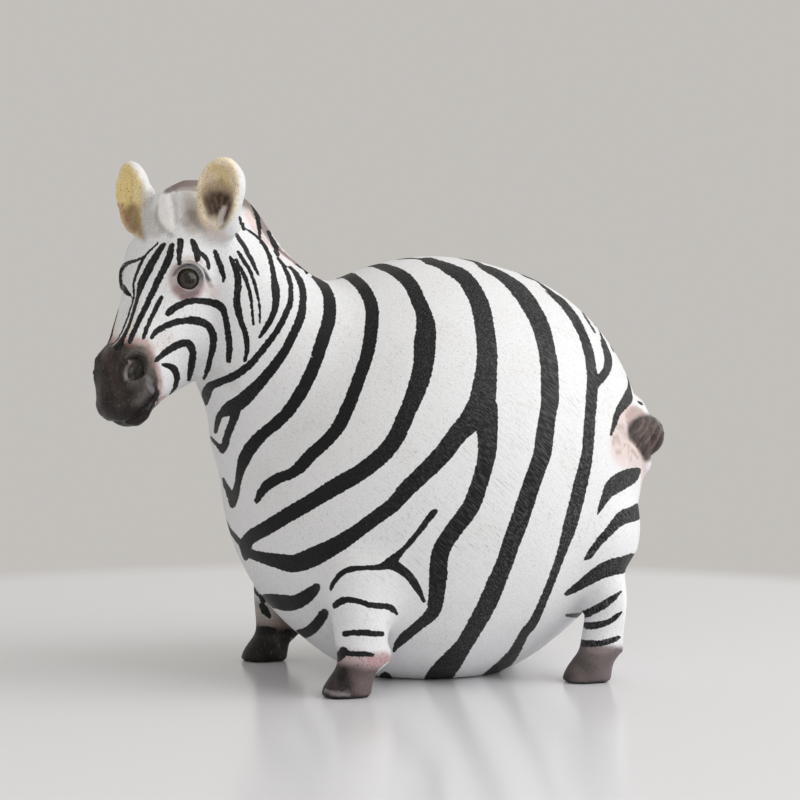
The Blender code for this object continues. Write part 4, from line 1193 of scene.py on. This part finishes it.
speckles = figure("MULTIPLY", spread(grain.outputs["Fac"], 0.54, 0.66), attribute("speck"))
coat_node = nodes.new("ShaderNodeAttribute")
coat_node.attribute_name = "coat"
scratches = figure("MULTIPLY", spread(field, 0.58, 0.70), spread(cloud.outputs["Fac"], 0.4, 0.65, 0.2, 0.5))
ground = blended(scratches, coat_node.outputs["Color"], paint(126, 126, 128))
ground = blended(figure("MULTIPLY", speckles, 0.75), ground, paint(84, 74, 68))
dust = figure("MULTIPLY", spread(cloud.outputs["Fac"], 0.45, 0.75), 0.12)
ground = blended(dust, ground, paint(196, 194, 182))
ear_dashes = figure("MULTIPLY", spread(field, 0.56, 0.64), figure("MULTIPLY", attribute("ear_share"), 0.55))
ground = blended(ear_dashes, ground, paint(104, 80, 52))
drawn = figure("MULTIPLY", spread(field, 0.46, 0.66), attribute("hatch"))
black = blended(drawn, paint(14, 14, 16), paint(86, 86, 88))
links.new(blended(striped, ground, black), shader.inputs["Base Color"])

dull = spread(cloud.outputs["Fac"], 0.3, 0.7, 0.44, 0.56)
links.new(figure("SUBTRACT", dull, figure("MULTIPLY", attribute("wet"), 0.18)), shader.inputs["Roughness"])
shader.inputs["Specular IOR Level"].default_value = 0.25
bump = node("ShaderNodeBump", Strength=0.8, Distance=0.16 * MM)
height = figure("ADD", field, figure("MULTIPLY", grain.outputs["Fac"], 0.5))
links.new(figure("ADD", height, figure("MULTIPLY", coarse, 1.2)), bump.inputs["Height"])
links.new(bump.outputs["Normal"], shader.inputs["Normal"])
cast.data.materials.append(material)
cast.data.shade_smooth()
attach(cast, "root")
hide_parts("zebra")

# The eyes. Each is a smooth dome in its rim of lids, painted brown with a black pupil and a dark edge,
# under clear varnish. A ball is sunk in the carved socket, and its rings follow its distance from the pupil.
for side, name in ((1, "eye_left"), (-1, "eye_right")):
    out = eye_facing(side)
    middle = eye_middle(side) - out * EYE_SUNK
    bpy.ops.object.select_all(action="DESELECT")
    bpy.ops.mesh.primitive_uv_sphere_add(segments=48, ring_count=32, radius=EYE_RADIUS, location=middle,
                                         rotation=out.to_track_quat("Z", "Y").to_euler())
    ball = bpy.context.object
    ball.name = name
    bpy.ops.object.transform_apply(location=True, rotation=True, scale=True)
    ball.data.shade_smooth()
    gloss = bpy.data.materials.new("varnished_" + name)
    gloss.use_nodes = True
    nodes, links = gloss.node_tree.nodes, gloss.node_tree.links
    shader = nodes["Principled BSDF"]
    object_place = nodes.new("ShaderNodeTexCoord").outputs["Object"]
    sight = nodes.new("ShaderNodeMapping")
    sight.vector_type = "TEXTURE"
    sight.inputs["Location"].default_value = middle + out * EYE_RADIUS
    links.new(object_place, sight.inputs["Vector"])
    off = nodes.new("ShaderNodeVectorMath")
    off.operation = "LENGTH"
    links.new(sight.outputs["Vector"], off.inputs[0])
    rings = nodes.new("ShaderNodeValToRGB")
    rings.color_ramp.elements[0].position = 0.28
    rings.color_ramp.elements[0].color = (*paint(20, 18, 16), 1)
    rings.color_ramp.elements[1].position = 0.40
    rings.color_ramp.elements[1].color = (*paint(58, 50, 39), 1)
    for position, colour in ((0.56, paint(44, 36, 28)), (0.66, paint(22, 17, 14)), (0.80, paint(18, 13, 11))):
        stop = rings.color_ramp.elements.new(position)
        stop.color = (*colour, 1)
    links.new(spread(off.outputs["Value"], 0.0, 5.6 * MM), rings.inputs["Fac"])
    mottle = node("ShaderNodeTexNoise", Scale=1800.0, Detail=2.0)
    links.new(object_place, mottle.inputs["Vector"])
    flecks = figure("MULTIPLY", spread(mottle.outputs["Fac"], 0.5, 0.7), 0.3)
    links.new(blended(flecks, rings.outputs["Color"], paint(92, 80, 62)), shader.inputs["Base Color"])
    shader.inputs["Roughness"].default_value = 0.15
    shader.inputs["Specular IOR Level"].default_value = 0.35
    shader.inputs["Coat Weight"].default_value = 0.1
    ball.data.materials.append(gloss)
    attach(ball, "root")

# The floor is a plain pale, slightly glossy sheet that fades into the air.
# The light is plain and soft: a wide lamp high at the right, a low one beside it and a faint one at the left.
FLOOR_RADIUS, FLOOR_DROP = 0.40, 0.0002
FADE_FROM, FADE_TO = 0.31, 0.37
bpy.ops.object.select_all(action="DESELECT")
bpy.ops.mesh.primitive_circle_add(vertices=128, radius=FLOOR_RADIUS, fill_type="NGON",
                                  location=(0, 0, -FLOOR_DROP))
floor = bpy.context.object
floor.name = "floor"
sheet = bpy.data.materials.new("pale_sheet")
sheet.use_nodes = True
nodes, links = sheet.node_tree.nodes, sheet.node_tree.links
shader = nodes["Principled BSDF"]
shader.inputs["Base Color"].default_value = (*paint(234, 234, 237), 1)
shader.inputs["Roughness"].default_value = 0.19
object_place = nodes.new("ShaderNodeTexCoord").outputs["Object"]
off = nodes.new("ShaderNodeVectorMath")
off.operation = "LENGTH"
links.new(object_place, off.inputs[0])
links.new(spread(off.outputs["Value"], FADE_FROM, FADE_TO, 1.0, 0.0), shader.inputs["Alpha"])
floor.data.materials.append(sheet)

bpy.context.scene.view_settings.view_transform = "Standard"
world = bpy.data.worlds.new("studio")
bpy.context.scene.world = world
world.use_nodes = True
world.node_tree.nodes["Background"].inputs["Color"].default_value = (*paint(193, 190, 186), 1)
world.node_tree.nodes["Background"].inputs["Strength"].default_value = 1.0
LAMPS = (((0.8, -0.7, 0.95), 13.2, 1.3), ((1.2, -0.3, 0.35), 3.2, 1.1), ((-0.7, -1.0, 0.45), 1.3, 1.4))
LIT_PLACE = Vector((0, 0, 0.08))
for place, power, breadth in LAMPS:
    bpy.ops.object.light_add(type="AREA", location=place)
    lamp = bpy.context.object
    lamp.data.energy = power
    lamp.data.size = breadth
    lamp.rotation_euler = (LIT_PLACE - lamp.location).to_track_quat("-Z", "Y").to_euler()
